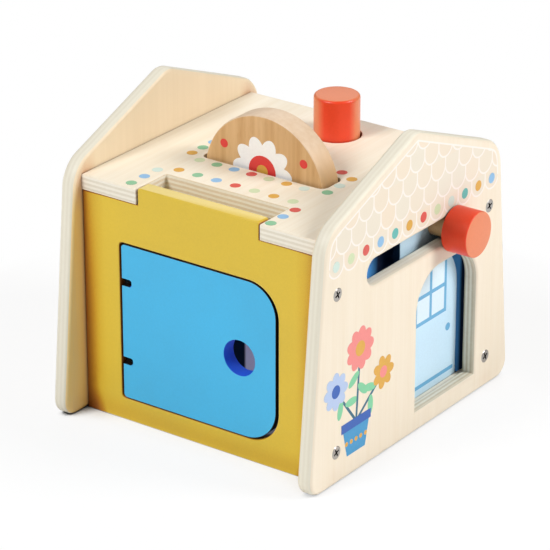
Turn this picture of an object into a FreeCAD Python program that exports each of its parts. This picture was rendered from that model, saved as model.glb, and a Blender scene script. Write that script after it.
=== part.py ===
# Wooden barn-shaped activity box with a pop-up disc, a posting slot, a hinged door and a sliding shutter.
#
# X runs across the house, from the plain left gable to the right gable with its knob slot and window.
# Y runs from the front wall with the door (negative) to the back wall. Z is up, and z = 0 is the floor.
# The origin is on the floor, midway between the gables and midway between the two walls.

import FreeCAD, Part

import math
import os
import re

import Sketcher

# Driving dimensions in millimetres. Spans are full widths, positions are measured from the origin,
# and the two margins of the door opening from the inner faces of the gables.
SIZES = {
    # plywood stock
    "wall_board": 8.7,
    "base_board": 10,
    "inner_board": 6,
    "picture_board": 4,
    # house
    "house_width": 165,
    "wall_span": 147.2,
    "foot_span": 184.8,
    "eaves_span": 158.8,
    "eaves_height": 137.4,
    "ridge_height": 168.2,
    "foot_round": 9,
    "eaves_round": 18,
    "ridge_round": 12,
    "gable_chamfer": 1.2,
    "roof_height": 132.7,
    "roof_overhang": 0.3,
    "roof_setback": 1.2,
    # front wall, its tab through the roof and the posting slot behind it
    "tab_width": 75.8,
    "tab_round": 4,
    "tab_gap": 0.9,
    "posting_gap": 17.1,
    "posting_round": 1.5,
    "opening_left_margin": 23.3,
    "opening_right_margin": 24.3,
    "opening_bottom": 12.5,
    "opening_height": 88.2,
    "opening_round": 18.5,
    # door and its pin hinge
    "door_gap": 1.3,
    "door_end_gap": 0.7,
    "door_recess": 0.3,
    "finger_hole_chamfer": 0.8,
    "hinge_edge_round": 2,
    "finger_hole_radius": 9.7,
    "finger_hole_inset": 22.6,
    "finger_hole_height": 43,
    "pin_radius": 1.5,
    "pin_edge_distance": 3,
    "pin_face_distance": 3.4,
    "pin_lintel_depth": 8,
    "running_gap": 0.1,
    "fixed_gap": 0.02,
    "eye_wire_radius": 0.65,
    "eye_height": 1.6,
    "eye_shank_length": 8,
    "eye_spacing": 44.4,
    "notch_length": 6.2,
    "notch_height": 3.7,
    "notch_round": 1.2,
    "door_stop_width": 8,
    "door_stop_height": 30,
    "door_stop_overlap": 4,
    # right gable: knob slot and window
    "knob_slot_length": 89.6,
    "knob_slot_height": 15.1,
    "knob_slot_middle": 105.4,
    "window_position": 29.9,
    "window_width": 57.9,
    "window_bottom": 11.5,
    "window_spring": 63.1,
    # gable screws
    "screw_low": 18,
    "screw_high": 104.6,
    "screw_length": 28,
    "screw_radius": 1.7,
    "screw_head_radius": 3.5,
    "screw_head_depth": 1.8,
    "screw_gap": 0.05,
    # sliding shutter with its knob
    "shutter_board": 4.5,
    "shutter_setback": 2.5,
    "shutter_width": 54.5,
    "shutter_position": 29.6,
    "shutter_tongue_width": 43.6,
    "shutter_round": 3,
    "base_groove_depth": 3.5,
    "rail_groove_depth": 7,
    "rail_height": 10,
    "groove_gap": 0.3,
    "channel_gap": 4,
    "stem_radius": 6.2,
    "stem_position": 34.1,
    "stem_drop": 1,
    "knob_radius": 12.3,
    "knob_length": 15,
    "knob_gap": 0.6,
    "knob_socket": 10,
    "knob_chamfer": 0.6,
    # pop-up disc
    "disc_radius": 37.5,
    "disc_thickness": 14.4,
    "disc_chamfer": 1.8,
    "disc_sink": 7.5,
    "disc_position": -10.2,
    "disc_slot_round": 4,
    "disc_end_gap": 1.3,
    "disc_face_gap": 1.8,
    "disc_stem_radius": 5,
    "disc_socket": 12,
    # push button
    "button_radius": 12.3,
    "button_rise": 22.5,
    "button_length": 54,
    "button_position": 48.1,
    "button_chamfer": 0.9,
    "button_hole_gap": 1,
    "collar_radius": 15.5,
    "collar_height": 5,
    "collar_gap": 0.4,
    "push_rod_radius": 6,
    "push_rod_socket": 15,
    # rocker between the two
    "pop_travel": 20,
    "axle_height": 45,
    "axle_radius": 2.5,
    "axle_overhang": 1,
    "rocker_width": 12,
    "rocker_nose_radius": 5,
    "rocker_bar_height": 6.4,
    "rocker_hub_radius": 9,
    "contact_gap": 0.3,
    "bracket_gap": 0.5,
    "bracket_width": 24,
    # inner boards
    "partition_position": -30.4,
    "shelf_height": 66,
    "guide_gap": 0.3,
    "batten": 8,
}

# Places that several pieces share, in terms of the driving dimensions.
INNER_X = "(house_width / 2 - wall_board)"
OUTER_Y = "(wall_span / 2)"
INNER_Y = "(wall_span / 2 - wall_board)"
ROOF_UNDERSIDE = "(roof_height - wall_board)"
OPENING_LEFT = f"(opening_left_margin - {INNER_X})"
OPENING_RIGHT = f"({INNER_X} - opening_right_margin)"
OPENING_TOP = "(opening_bottom + opening_height)"
DOOR_LEFT = f"({OPENING_LEFT} + door_gap)"
DOOR_RIGHT = f"({OPENING_RIGHT} - door_gap)"
DOOR_BOTTOM = "(opening_bottom + door_end_gap)"
DOOR_TOP = f"({OPENING_TOP} - door_end_gap)"
DOOR_MIDDLE = "(opening_bottom + opening_height / 2)"
PIN_X = f"({DOOR_LEFT} + pin_edge_distance)"
PIN_Y = f"(pin_face_distance - {OUTER_Y})"
EYE_HEIGHTS = (f"({DOOR_MIDDLE} - eye_spacing / 2)", f"({DOOR_MIDDLE} + eye_spacing / 2)")
EYE_BORE_RADIUS = "(pin_radius + running_gap)"
EYE_RING_RADIUS = f"({EYE_BORE_RADIUS} + 2 * eye_wire_radius)"
SHUTTER_OUTER_X = f"({INNER_X} - shutter_setback)"
SHUTTER_INNER_X = f"({SHUTTER_OUTER_X} - shutter_board)"
SHUTTER_FRONT = "(shutter_position - shutter_width / 2)"
SHUTTER_BACK = "(shutter_position + shutter_width / 2)"
CHANNEL_X = f"({SHUTTER_INNER_X} - channel_gap)"
PICTURE_X = f"({CHANNEL_X} - picture_board)"
STEM_HEIGHT = "(knob_slot_middle - stem_drop)"
KNOB_X = "(house_width / 2 + knob_gap)"
DISC_HEIGHT = "(roof_height - disc_sink)"
PIVOT_Y = "((disc_position + button_position) / 2)"
ARM = "((button_position - disc_position) / 2)"
FOOT_DOWN = "(axle_height + rocker_nose_radius + contact_gap - pop_travel / 2)"
FOOT_UP = "(axle_height + rocker_nose_radius + contact_gap + pop_travel / 2)"
BUTTON_FOOT = "(roof_height + button_rise - button_length)"
PARTITION_BACK = "(partition_position + inner_board)"
SHELF_LENGTH = f"({INNER_Y} - {PARTITION_BACK})"

# The screws are small and many, so their round sections are drawn as polygons.
HEAD_SIDES = 12
SHANK_SIDES = 8

document = FreeCAD.newDocument("PopUpBox")
sizes = document.addObject("Spreadsheet::Sheet", "Sizes")
for row, (alias, size) in enumerate(SIZES.items(), start=1):
    sizes.set(f"A{row}", str(size))
    sizes.setAlias(f"A{row}", alias)
document.recompute()

NODES = []


# Expressions


def cells(expression):
    """Point each size named in an expression at its cell of the sheet."""
    return re.sub(r"[a-z_]{2,}", lambda word: "Sizes." + word[0] if word[0] in SIZES else word[0], expression)


def number(expression):
    return float(sizes.evalExpression(cells(expression)))


def bind(item, **expressions):
    """Bind properties to the sheet; a double underscore in a name stands for a dot."""
    for name, expression in expressions.items():
        item.setExpression(name.replace("__", "."), cells(expression))


def place(item, x="0", y="0", z="0"):
    bind(item, Placement__Base__x=x, Placement__Base__y=y, Placement__Base__z=z)


def turn(item, axis, angle):
    item.Placement = FreeCAD.Placement(item.Placement.Base, FreeCAD.Rotation(FreeCAD.Vector(*axis), angle))


def node(item, label):
    """Name an object as a finished sub-part."""
    item.Label = label
    NODES.append(item)
    return item


# Sketches


def new_body(label):
    body = document.addObject("PartDesign::Body", label)
    body.Label = label
    return body


def new_piece(label):
    """Body that is a finished sub-part by itself."""
    return node(new_body(label), label)


def new_sketch(body, plane, offset="0"):
    sketch = body.newObject("Sketcher::SketchObject", body.Label + "_sketch")
    origin_plane = next(feature for feature in body.Origin.OriginFeatures if feature.Role == plane)
    sketch.AttachmentSupport = [(origin_plane, "")]
    sketch.MapMode = "FlatFace"
    bind(sketch, AttachmentOffset__Base__z=offset)
    return sketch


def fix_point(sketch, geometry, end, x, y):
    """Hold one point of a sketch at (x, y) from the sketch's origin; None leaves a direction free."""
    for kind, expression, axis in (("DistanceX", x, -2), ("DistanceY", y, -1)):
        if expression == "0":
            sketch.addConstraint(Sketcher.Constraint("PointOnObject", geometry, end, axis))
        elif expression is not None:
            constraint = Sketcher.Constraint(kind, -1, 1, geometry, end, number(expression))
            sketch.setExpression(f"Constraints[{sketch.addConstraint(constraint)}]", cells(expression))


def fix_radius(sketch, geometry, radius):
    index = sketch.addConstraint(Sketcher.Constraint("Radius", geometry, number(radius)))
    sketch.setExpression(f"Constraints[{index}]", cells(radius))


def point(x, y):
    return FreeCAD.Vector(number(x), number(y), 0)


def draw_outline(sketch, corners):
    """Closed outline of straight edges through the given (x, y) corners."""
    first = sketch.GeometryCount
    for start, end in zip(corners, corners[1:] + corners[:1]):
        sketch.addGeometry(Part.LineSegment(point(*start), point(*end)), False)
    count = len(corners)
    for index, corner in enumerate(corners):
        following = first + (index + 1) % count
        sketch.addConstraint(Sketcher.Constraint("Coincident", first + index, 2, following, 1))
        fix_point(sketch, first + index, 1, *corner)


def rectangle(left, right, bottom, top):
    return [(left, bottom), (right, bottom), (right, top), (left, top)]


def draw_circle(sketch, x, y, radius):
    normal = FreeCAD.Vector(0, 0, 1)
    circle = sketch.addGeometry(Part.Circle(point(x, y), normal, number(radius)), False)
    fix_point(sketch, circle, 3, x, y)
    fix_radius(sketch, circle, radius)


def arc_through(centre, radius, start_degrees, end_degrees):
    circle = Part.Circle(centre, FreeCAD.Vector(0, 0, 1), radius)
    return Part.ArcOfCircle(circle, math.radians(start_degrees), math.radians(end_degrees))


def draw_obround(sketch, left, right, middle, radius):
    """Slot with round ends whose arc centres lie at left and right."""
    first = sketch.GeometryCount
    low, high = f"({middle} - {radius})", f"({middle} + {radius})"
    size = number(radius)
    sketch.addGeometry(Part.LineSegment(point(left, low), point(right, low)), False)
    sketch.addGeometry(arc_through(point(right, middle), size, -90, 90), False)
    sketch.addGeometry(Part.LineSegment(point(right, high), point(left, high)), False)
    sketch.addGeometry(arc_through(point(left, middle), size, 90, 270), False)
    for index in range(4):
        following = first + (index + 1) % 4
        sketch.addConstraint(Sketcher.Constraint("Tangent", first + index, 2, following, 1))
    fix_point(sketch, first + 1, 3, right, middle)
    fix_point(sketch, first + 3, 3, left, middle)
    fix_radius(sketch, first + 1, radius)


def draw_arch(sketch, middle, width, bottom, spring):
    """Upright opening or post whose top is a half circle that starts at the spring line."""
    first = sketch.GeometryCount
    left, right = f"({middle} - {width} / 2)", f"({middle} + {width} / 2)"
    sketch.addGeometry(Part.LineSegment(point(left, spring), point(left, bottom)), False)
    sketch.addGeometry(Part.LineSegment(point(left, bottom), point(right, bottom)), False)
    sketch.addGeometry(Part.LineSegment(point(right, bottom), point(right, spring)), False)
    sketch.addGeometry(arc_through(point(middle, spring), number(width) / 2, 0, 180), False)
    for index in range(4):
        following = first + (index + 1) % 4
        sketch.addConstraint(Sketcher.Constraint("Coincident", first + index, 2, following, 1))
    for index, corner in enumerate(((left, spring), (left, bottom), (right, bottom))):
        fix_point(sketch, first + index, 1, *corner)
    fix_point(sketch, first + 3, 3, middle, spring)
    fix_point(sketch, first + 3, 1, None, spring)


# Features


def pad(body, sketch, length, symmetric=False):
    feature = body.newObject("PartDesign::Pad", body.Label + "_pad")
    feature.Profile = sketch
    feature.SideType = "Symmetric" if symmetric else "One side"
    bind(feature, Length=length)
    document.recompute()
    return feature


def pocket(body, sketch, depth=None, forward=True):
    """Cut a sketch into its body, towards the sketch's normal unless forward is False.

    Without a depth the cut goes right through the body, both ways.
    """
    volume = body.Shape.Volume
    feature = body.newObject("PartDesign::Pocket", body.Label + "_pocket")
    feature.Profile = sketch
    if depth is None:
        feature.Type = "ThroughAll"
        feature.SideType = "Symmetric"
    else:
        feature.Type = "Length"
        feature.Reversed = forward
        bind(feature, Length=depth)
    document.recompute()
    if body.Shape.Volume >= volume:
        raise RuntimeError(f"{feature.Label} cuts nothing")
    return feature


def dress_edges(body, kind, wanted, **size):
    """Fillet or chamfer those edges of the body for which wanted(edge) is true."""
    feature = body.newObject(f"PartDesign::{kind}", f"{body.Label}_{kind.lower()}")
    base = feature.BaseFeature
    names = [f"Edge{index}" for index, edge in enumerate(base.Shape.Edges, start=1) if wanted(edge)]
    if not names:
        raise RuntimeError(f"{feature.Label} finds no edge")
    feature.Base = (base, names)
    bind(feature, **size)
    document.recompute()


def round_edges(body, radius, wanted):
    dress_edges(body, "Fillet", wanted, Radius=radius)


def chamfer_edges(body, size, wanted):
    dress_edges(body, "Chamfer", wanted, Size=size)


def corner_edge(across, *corners):
    """Test for straight edges that run along one axis through any of the given corners.

    across names the two other axes, such as "yz", and each corner is a pair of expressions.
    """
    along = next(axis for axis in "xyz" if axis not in across)
    places = [tuple(number(expression) for expression in corner) for corner in corners]

    def wanted(edge):
        start, end = edge.Vertexes[0].Point, edge.Vertexes[-1].Point
        span = end - start
        straight = abs(getattr(span, along)) > 0.999 * span.Length and span.Length > 0.5
        middle = (start + end) / 2
        here = tuple(getattr(middle, axis) for axis in across)
        return straight and any(abs(here[0] - u) + abs(here[1] - v) < 0.01 for u, v in places)

    return wanted


def flat_edge(axis, *levels):
    """Test for edges that lie wholly in a plane across the axis, at one of the levels."""
    heights = [number(level) for level in levels]

    def wanted(edge):
        box = edge.BoundBox
        low, high = getattr(box, axis.upper() + "Min"), getattr(box, axis.upper() + "Max")
        return any(abs(low - height) < 0.01 and abs(high - height) < 0.01 for height in heights)

    return wanted


def round_edge(radius, axis, *levels):
    """Test for whole circles of one radius that lie across the axis at one of the levels."""
    in_plane = flat_edge(axis, *levels)
    size = number(radius)
    return lambda edge: (in_plane(edge) and isinstance(edge.Curve, Part.Circle)
                         and abs(edge.Curve.Radius - size) < 0.01 and len(edge.Vertexes) == 1)


# Part primitives


def box(label, length, width, height):
    item = document.addObject("Part::Box", label)
    bind(item, Length=length, Width=width, Height=height)
    return item


def rod(label, radius, length):
    item = document.addObject("Part::Cylinder", label)
    bind(item, Radius=radius, Height=length)
    return item


def cut(label, base, tool):
    item = document.addObject("Part::Cut", label)
    item.Base = base
    item.Tool = tool
    return item


def fuse(label, base, tool):
    item = document.addObject("Part::Fuse", label)
    item.Base = base
    item.Tool = tool
    return item


# Screws and the holes that they sit in


def prism(label, sides, radius, length):
    item = document.addObject("Part::Prism", label)
    item.Polygon = sides
    bind(item, Circumradius=radius, Height=length)
    return item


def gable_screws(label, outer_face, inward, gap="0"):
    """Four flat-headed screws through one gable into the two walls; inward is the sign of X from head to tip.

    With a gap the same shape is wide enough to cut the holes for the screws.
    """
    parts = []
    for side in ("-", ""):
        for height in ("screw_low", "screw_high"):
            name = f"{label}_{len(parts)}"
            head = prism(name + "_head", HEAD_SIDES, f"screw_head_radius + {gap}", "screw_head_depth")
            shank = prism(name + "_shank", SHANK_SIDES, f"screw_radius + {gap}", f"screw_length + {gap}")
            for item in (head, shank):
                turn(item, (0, 1, 0), 90 * inward)
                place(item, outer_face, f"{side}(wall_span / 2 - wall_board / 2)", height)
            parts += [head, shank]
    screws = document.addObject("Part::MultiFuse", label)
    screws.Shapes = parts
    return screws


def screws_and_holes():
    """Both sets of screws, and the cutter for all of their holes."""
    cutters = []
    ends = (("left_screws", "-house_width / 2", 1), ("right_screws", "house_width / 2", -1))
    for label, outer_face, inward in ends:
        node(gable_screws(label, outer_face, inward), label)
        cutters.append(gable_screws(label + "_holes", outer_face, inward, "screw_gap"))
    return fuse("screw_holes", *cutters)


# Gables, walls, base and roof


def gable(label, inner_face, outward):
    """House-shaped end board; outward is +1 where its outer face looks along +X."""
    body = new_body(label + "_board")
    half_foot, half_eaves = "foot_span / 2", "eaves_span / 2"
    corners = [("-" + half_foot, "0"), (half_foot, "0"), (half_eaves, "eaves_height"),
               ("0", "ridge_height"), ("-" + half_eaves, "eaves_height")]
    sketch = new_sketch(body, "YZ_Plane")
    draw_outline(sketch, corners)
    pad(body, sketch, "wall_board")
    round_edges(body, "foot_round", corner_edge("yz", *corners[:2]))
    round_edges(body, "eaves_round", corner_edge("yz", corners[2], corners[4]))
    round_edges(body, "ridge_round", corner_edge("yz", corners[3]))
    chamfer_edges(body, "gable_chamfer", flat_edge("x", "0", "wall_board"))
    place(body, x=inner_face if outward > 0 else f"{inner_face} - wall_board")
    return body


def left_gable(screw_holes):
    body = gable("left_gable", f"-{INNER_X}", -1)
    node(cut("left_gable", body, screw_holes), "left_gable")


def right_gable(screw_holes):
    """The right gable has the knob slot and, under it, the arched window."""
    body = gable("right_gable", INNER_X, 1)
    half_run = "((knob_slot_length - knob_slot_height) / 2)"
    slot = new_sketch(body, "YZ_Plane")
    draw_obround(slot, "-" + half_run, half_run, "knob_slot_middle", "(knob_slot_height / 2)")
    pocket(body, slot)
    window = new_sketch(body, "YZ_Plane")
    draw_arch(window, "window_position", "window_width", "window_bottom", "window_spring")
    pocket(body, window)
    node(cut("right_gable", body, screw_holes), "right_gable")


def front_wall(screw_holes):
    """Front wall with the door opening, the hinge holes and the tab that stands up through the roof."""
    body = new_body("front_wall_board")
    half_tab = "(tab_width / 2)"
    tab_corners = [(half_tab, "roof_height"), ("-" + half_tab, "roof_height")]
    outline = new_sketch(body, "XZ_Plane")
    draw_outline(outline, [("-" + INNER_X, "0"), (INNER_X, "0"), (INNER_X, ROOF_UNDERSIDE),
                           (half_tab, ROOF_UNDERSIDE), *tab_corners,
                           ("-" + half_tab, ROOF_UNDERSIDE), ("-" + INNER_X, ROOF_UNDERSIDE)])
    pad(body, outline, "wall_board")
    round_edges(body, "tab_round", corner_edge("xz", *tab_corners))

    opening = new_sketch(body, "XZ_Plane")
    draw_outline(opening, rectangle(OPENING_LEFT, OPENING_RIGHT, "opening_bottom", OPENING_TOP))
    pocket(body, opening)
    free_corners = [(OPENING_RIGHT, "opening_bottom"), (OPENING_RIGHT, OPENING_TOP)]
    round_edges(body, "opening_round", corner_edge("xz", *free_corners))
    hinge_corners = [(OPENING_LEFT, "opening_bottom"), (OPENING_LEFT, OPENING_TOP)]
    round_edges(body, "hinge_edge_round", corner_edge("xz", *hinge_corners))

    pin_depth = "(pin_face_distance - wall_board)"
    pin_hole = new_sketch(body, "XY_Plane")
    draw_circle(pin_hole, PIN_X, pin_depth, "(pin_radius + fixed_gap)")
    pocket(body, pin_hole, f"{OPENING_TOP} + pin_lintel_depth")
    eye_holes = new_sketch(body, "YZ_Plane", offset=OPENING_LEFT)
    for height in EYE_HEIGHTS:
        draw_circle(eye_holes, pin_depth, height, "(eye_wire_radius + fixed_gap)")
    pocket(body, eye_holes, "eye_shank_length", forward=False)
    place(body, y="-" + INNER_Y)
    node(cut("front_wall", body, screw_holes), "front_wall")


def back_wall(screw_holes):
    body = new_body("back_wall_board")
    outline = new_sketch(body, "XZ_Plane")
    draw_outline(outline, rectangle("-" + INNER_X, INNER_X, "0", ROOF_UNDERSIDE))
    pad(body, outline, "wall_board")
    place(body, y=OUTER_Y)
    node(cut("back_wall", body, screw_holes), "back_wall")


def base():
    """Floor board; the shutter's foot runs in the groove along its right side."""
    body = new_piece("base")
    outline = new_sketch(body, "XY_Plane")
    draw_outline(outline, rectangle("-" + INNER_X, INNER_X, "-" + INNER_Y, INNER_Y))
    pad(body, outline, "base_board")
    groove = new_sketch(body, "XY_Plane", offset="base_board")
    draw_outline(groove, rectangle(f"({SHUTTER_INNER_X} - groove_gap)", f"({SHUTTER_OUTER_X} + groove_gap)",
                                   "-" + INNER_Y, INNER_Y))
    pocket(body, groove, "base_groove_depth", forward=False)


def roof():
    """Roof board with the posting notch round the tab, the disc's slot and the button's hole."""
    body = new_piece("roof")
    front_edge = f"(-roof_overhang - {OUTER_Y})"
    back_edge = f"({OUTER_Y} - roof_setback)"
    half_notch = "(tab_width / 2 + tab_gap)"
    notch_back = f"(posting_gap - {INNER_Y})"
    notch_corners = [("-" + half_notch, notch_back), (half_notch, notch_back)]
    outline = new_sketch(body, "XY_Plane")
    draw_outline(outline, [("-" + INNER_X, front_edge), ("-" + half_notch, front_edge), *notch_corners,
                           (half_notch, front_edge), (INNER_X, front_edge),
                           (INNER_X, back_edge), ("-" + INNER_X, back_edge)])
    pad(body, outline, "wall_board")
    round_edges(body, "posting_round", corner_edge("xy", *notch_corners))

    half_length = "(disc_radius + disc_end_gap)"
    half_width = "(disc_thickness / 2 + disc_face_gap)"
    front, back = f"(disc_position - {half_width})", f"(disc_position + {half_width})"
    slot_corners = rectangle("-" + half_length, half_length, front, back)
    slot = new_sketch(body, "XY_Plane")
    draw_outline(slot, slot_corners)
    pocket(body, slot)
    round_edges(body, "disc_slot_round", corner_edge("xy", *slot_corners))

    hole = new_sketch(body, "XY_Plane")
    draw_circle(hole, "0", "button_position", "(button_radius + button_hole_gap)")
    pocket(body, hole)
    place(body, z=ROOF_UNDERSIDE)


# Inner boards


def partition():
    """Back of the posting room, which the door opens."""
    height = f"{ROOF_UNDERSIDE} - base_board"
    item = node(box("partition", f"{PICTURE_X} + {INNER_X}", "inner_board", height), "partition")
    place(item, "-" + INNER_X, "partition_position", "base_board")


def picture_board():
    """Board that shows in the window once the shutter has been slid away."""
    height = f"{ROOF_UNDERSIDE} - base_board"
    item = node(box("picture_board", "picture_board", f"2 * {INNER_Y}", height), "picture_board")
    place(item, PICTURE_X, "-" + INNER_Y, "base_board")


def upper_rail():
    """Grooved rail under the roof that guides the top of the shutter."""
    rail = box("rail_blank", f"{INNER_X} - {CHANNEL_X}", f"2 * {INNER_Y}", "rail_height")
    place(rail, CHANNEL_X, "-" + INNER_Y, f"{ROOF_UNDERSIDE} - rail_height")
    groove = box("rail_groove", "shutter_board + 2 * groove_gap", f"2 * {INNER_Y}", "rail_groove_depth")
    place(groove, f"{SHUTTER_INNER_X} - groove_gap", "-" + INNER_Y, f"{ROOF_UNDERSIDE} - rail_height")
    node(cut("upper_rail", rail, groove), "upper_rail")


def shelf():
    """Board over the rocker; its two holes guide the disc's stem and the button's rod."""
    body = new_piece("shelf")
    outline = new_sketch(body, "XY_Plane")
    draw_outline(outline, rectangle("-" + INNER_X, PICTURE_X, PARTITION_BACK, INNER_Y))
    pad(body, outline, "inner_board")
    guides = new_sketch(body, "XY_Plane")
    draw_circle(guides, "0", "disc_position", "(disc_stem_radius + guide_gap)")
    draw_circle(guides, "0", "button_position", "(push_rod_radius + guide_gap)")
    pocket(body, guides)
    place(body, z="shelf_height")


def shelf_battens():
    for label, x in (("left_batten", "-" + INNER_X), ("right_batten", f"{PICTURE_X} - batten")):
        item = node(box(label, "batten", SHELF_LENGTH, "batten"), label)
        place(item, x, PARTITION_BACK, "shelf_height - batten")


# Door and its hinge


def front_door():
    """Door with a finger hole; two notches in its hinge edge let it turn past the hinge eyes."""
    body = new_piece("front_door")
    thickness = "(wall_board - door_recess)"
    outline = new_sketch(body, "XZ_Plane")
    draw_outline(outline, rectangle(DOOR_LEFT, DOOR_RIGHT, DOOR_BOTTOM, DOOR_TOP))
    pad(body, outline, thickness)
    hinge_edges = [(DOOR_LEFT, "0"), (DOOR_LEFT, "-" + thickness)]
    round_edges(body, "hinge_edge_round", corner_edge("xy", *hinge_edges))
    free_corners = [(DOOR_RIGHT, DOOR_BOTTOM), (DOOR_RIGHT, DOOR_TOP)]
    round_edges(body, "opening_round - door_gap", corner_edge("xz", *free_corners))

    notch_end = f"({DOOR_LEFT} + notch_length)"
    notches = new_sketch(body, "XZ_Plane")
    notch_corners = []
    for middle in EYE_HEIGHTS:
        low, high = f"({middle} - notch_height / 2)", f"({middle} + notch_height / 2)"
        draw_outline(notches, rectangle(OPENING_LEFT, notch_end, low, high))
        notch_corners += [(notch_end, low), (notch_end, high)]
    pocket(body, notches)
    round_edges(body, "notch_round", corner_edge("xz", *notch_corners))

    finger_hole = new_sketch(body, "XZ_Plane")
    draw_circle(finger_hole, f"({DOOR_RIGHT} - finger_hole_inset)", f"({DOOR_BOTTOM} + finger_hole_height)",
                "finger_hole_radius")
    pocket(body, finger_hole)
    chamfer_edges(body, "finger_hole_chamfer", round_edge("finger_hole_radius", "y", "0", "-" + thickness))

    pin_bore = new_sketch(body, "XY_Plane")
    draw_circle(pin_bore, PIN_X, f"(pin_face_distance - {thickness})", EYE_BORE_RADIUS)
    pocket(body, pin_bore)
    place(body, y=f"{thickness} - {OUTER_Y}")


def hinge():
    """Steel pin through the sill, the door and the lintel, held halfway by two screwed eyes."""
    pin = node(rod("hinge_pin", "pin_radius", f"{OPENING_TOP} + pin_lintel_depth"), "hinge_pin")
    place(pin, PIN_X, PIN_Y)
    for label, height in zip(("lower_hinge_eye", "upper_hinge_eye"), EYE_HEIGHTS):
        disc = rod(label + "_disc", EYE_RING_RADIUS, "eye_height")
        bore = rod(label + "_bore", EYE_BORE_RADIUS, "eye_height")
        for item in (disc, bore):
            place(item, PIN_X, PIN_Y, f"{height} - eye_height / 2")
        ring = cut(label + "_ring", disc, bore)
        shank_end = f"({OPENING_LEFT} - eye_shank_length)"
        ring_wall = f"({PIN_X} - {EYE_BORE_RADIUS} - eye_wire_radius)"
        shank = rod(label + "_shank", "eye_wire_radius", f"{ring_wall} - {shank_end}")
        turn(shank, (0, 1, 0), 90)
        place(shank, shank_end, PIN_Y, height)
        node(fuse(label, ring, shank), label)


def door_stop():
    """Block behind the free edge of the door, so that it closes flush."""
    item = node(box("door_stop", "door_stop_width", "inner_board", "door_stop_height"), "door_stop")
    left, bottom = f"{OPENING_RIGHT} - door_stop_overlap", f"{DOOR_MIDDLE} - door_stop_height / 2"
    place(item, left, "-" + INNER_Y, bottom)


# Sliding shutter


def shutter():
    """Board behind the window: its tongue reaches up to the knob slot, its back shoulder follows the arch."""
    body = new_piece("shutter")
    foot = "(base_board - base_groove_depth + groove_gap)"
    top = f"({ROOF_UNDERSIDE} - rail_height + rail_groove_depth - groove_gap)"
    tongue_back = f"({SHUTTER_FRONT} + shutter_tongue_width)"
    shoulder = [(SHUTTER_FRONT, foot), (SHUTTER_BACK, foot), (SHUTTER_BACK, "window_spring")]
    reach = f"({tongue_back} - shutter_position)"
    shoulder_top = f"(window_spring + sqrt((shutter_width / 2) ^ 2 - {reach} ^ 2))"
    arc = arc_through(point("shutter_position", "window_spring"), number("shutter_width / 2"),
                      0, number(f"acos({reach} / (shutter_width / 2))"))
    outline = new_sketch(body, "YZ_Plane")
    for start, end in zip(shoulder, shoulder[1:]):
        outline.addGeometry(Part.LineSegment(point(*start), point(*end)), False)
    outline.addGeometry(arc, False)
    tongue = [(tongue_back, shoulder_top), (tongue_back, top), (SHUTTER_FRONT, top), shoulder[0]]
    for start, end in zip(tongue, tongue[1:]):
        outline.addGeometry(Part.LineSegment(point(*start), point(*end)), False)
    for index in range(6):
        outline.addConstraint(Sketcher.Constraint("Coincident", index, 2, (index + 1) % 6, 1))
    for index, corner in ((0, shoulder[0]), (1, shoulder[1]), (4, tongue[1]), (5, tongue[2])):
        fix_point(outline, index, 1, *corner)
    fix_point(outline, 1, 2, *shoulder[2])
    fix_point(outline, 2, 3, "shutter_position", "window_spring")
    fix_point(outline, 3, 1, tongue_back, None)
    pad(body, outline, "shutter_board")
    round_edges(body, "shutter_round", corner_edge("yz", (tongue_back, top), (SHUTTER_FRONT, top)))
    stem_hole = new_sketch(body, "YZ_Plane")
    draw_circle(stem_hole, "stem_position", STEM_HEIGHT, "stem_radius")
    pocket(body, stem_hole)
    place(body, x=SHUTTER_INNER_X)


def slide_stem():
    item = node(rod("slide_stem", "stem_radius", f"{KNOB_X} + knob_socket - {SHUTTER_INNER_X}"), "slide_stem")
    turn(item, (0, 1, 0), 90)
    place(item, SHUTTER_INNER_X, "stem_position", STEM_HEIGHT)


def slide_knob():
    body = new_piece("slide_knob")
    face = new_sketch(body, "YZ_Plane")
    draw_circle(face, "0", "0", "knob_radius")
    pad(body, face, "knob_length")
    chamfer_edges(body, "knob_chamfer", flat_edge("x", "knob_length"))
    socket = new_sketch(body, "YZ_Plane")
    draw_circle(socket, "0", "0", "stem_radius")
    pocket(body, socket, "knob_socket")
    place(body, KNOB_X, "stem_position", STEM_HEIGHT)


# Pop-up disc, push button and the rocker that joins them


def pop_up_disc():
    body = new_piece("pop_up_disc")
    face = new_sketch(body, "XZ_Plane")
    draw_circle(face, "0", "0", "disc_radius")
    pad(body, face, "disc_thickness", symmetric=True)
    chamfer_edges(body, "disc_chamfer", flat_edge("y", "-disc_thickness / 2", "disc_thickness / 2"))
    socket = new_sketch(body, "XY_Plane", offset="-disc_radius")
    draw_circle(socket, "0", "0", "disc_stem_radius")
    pocket(body, socket, "disc_socket")
    place(body, y="disc_position", z=DISC_HEIGHT)


def disc_stem():
    top = f"({DISC_HEIGHT} - disc_radius + disc_socket)"
    item = node(rod("disc_stem", "disc_stem_radius", f"{top} - {FOOT_DOWN}"), "disc_stem")
    place(item, y="disc_position", z=FOOT_DOWN)


def push_button():
    body = new_piece("push_button")
    foot = new_sketch(body, "XY_Plane")
    draw_circle(foot, "0", "0", "button_radius")
    pad(body, foot, "button_length")
    chamfer_edges(body, "button_chamfer", flat_edge("z", "button_length"))
    socket = new_sketch(body, "XY_Plane")
    draw_circle(socket, "0", "0", "push_rod_radius")
    pocket(body, socket, "push_rod_socket")
    place(body, y="button_position", z=BUTTON_FOOT)


def button_collar():
    """Ring glued round the button under the roof, which keeps it from coming out."""
    blank = rod("collar_blank", "collar_radius", "collar_height")
    bore = rod("collar_bore", "button_radius", "collar_height")
    for item in (blank, bore):
        place(item, y="button_position", z=f"{ROOF_UNDERSIDE} - collar_gap - collar_height")
    node(cut("button_collar", blank, bore), "button_collar")


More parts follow.
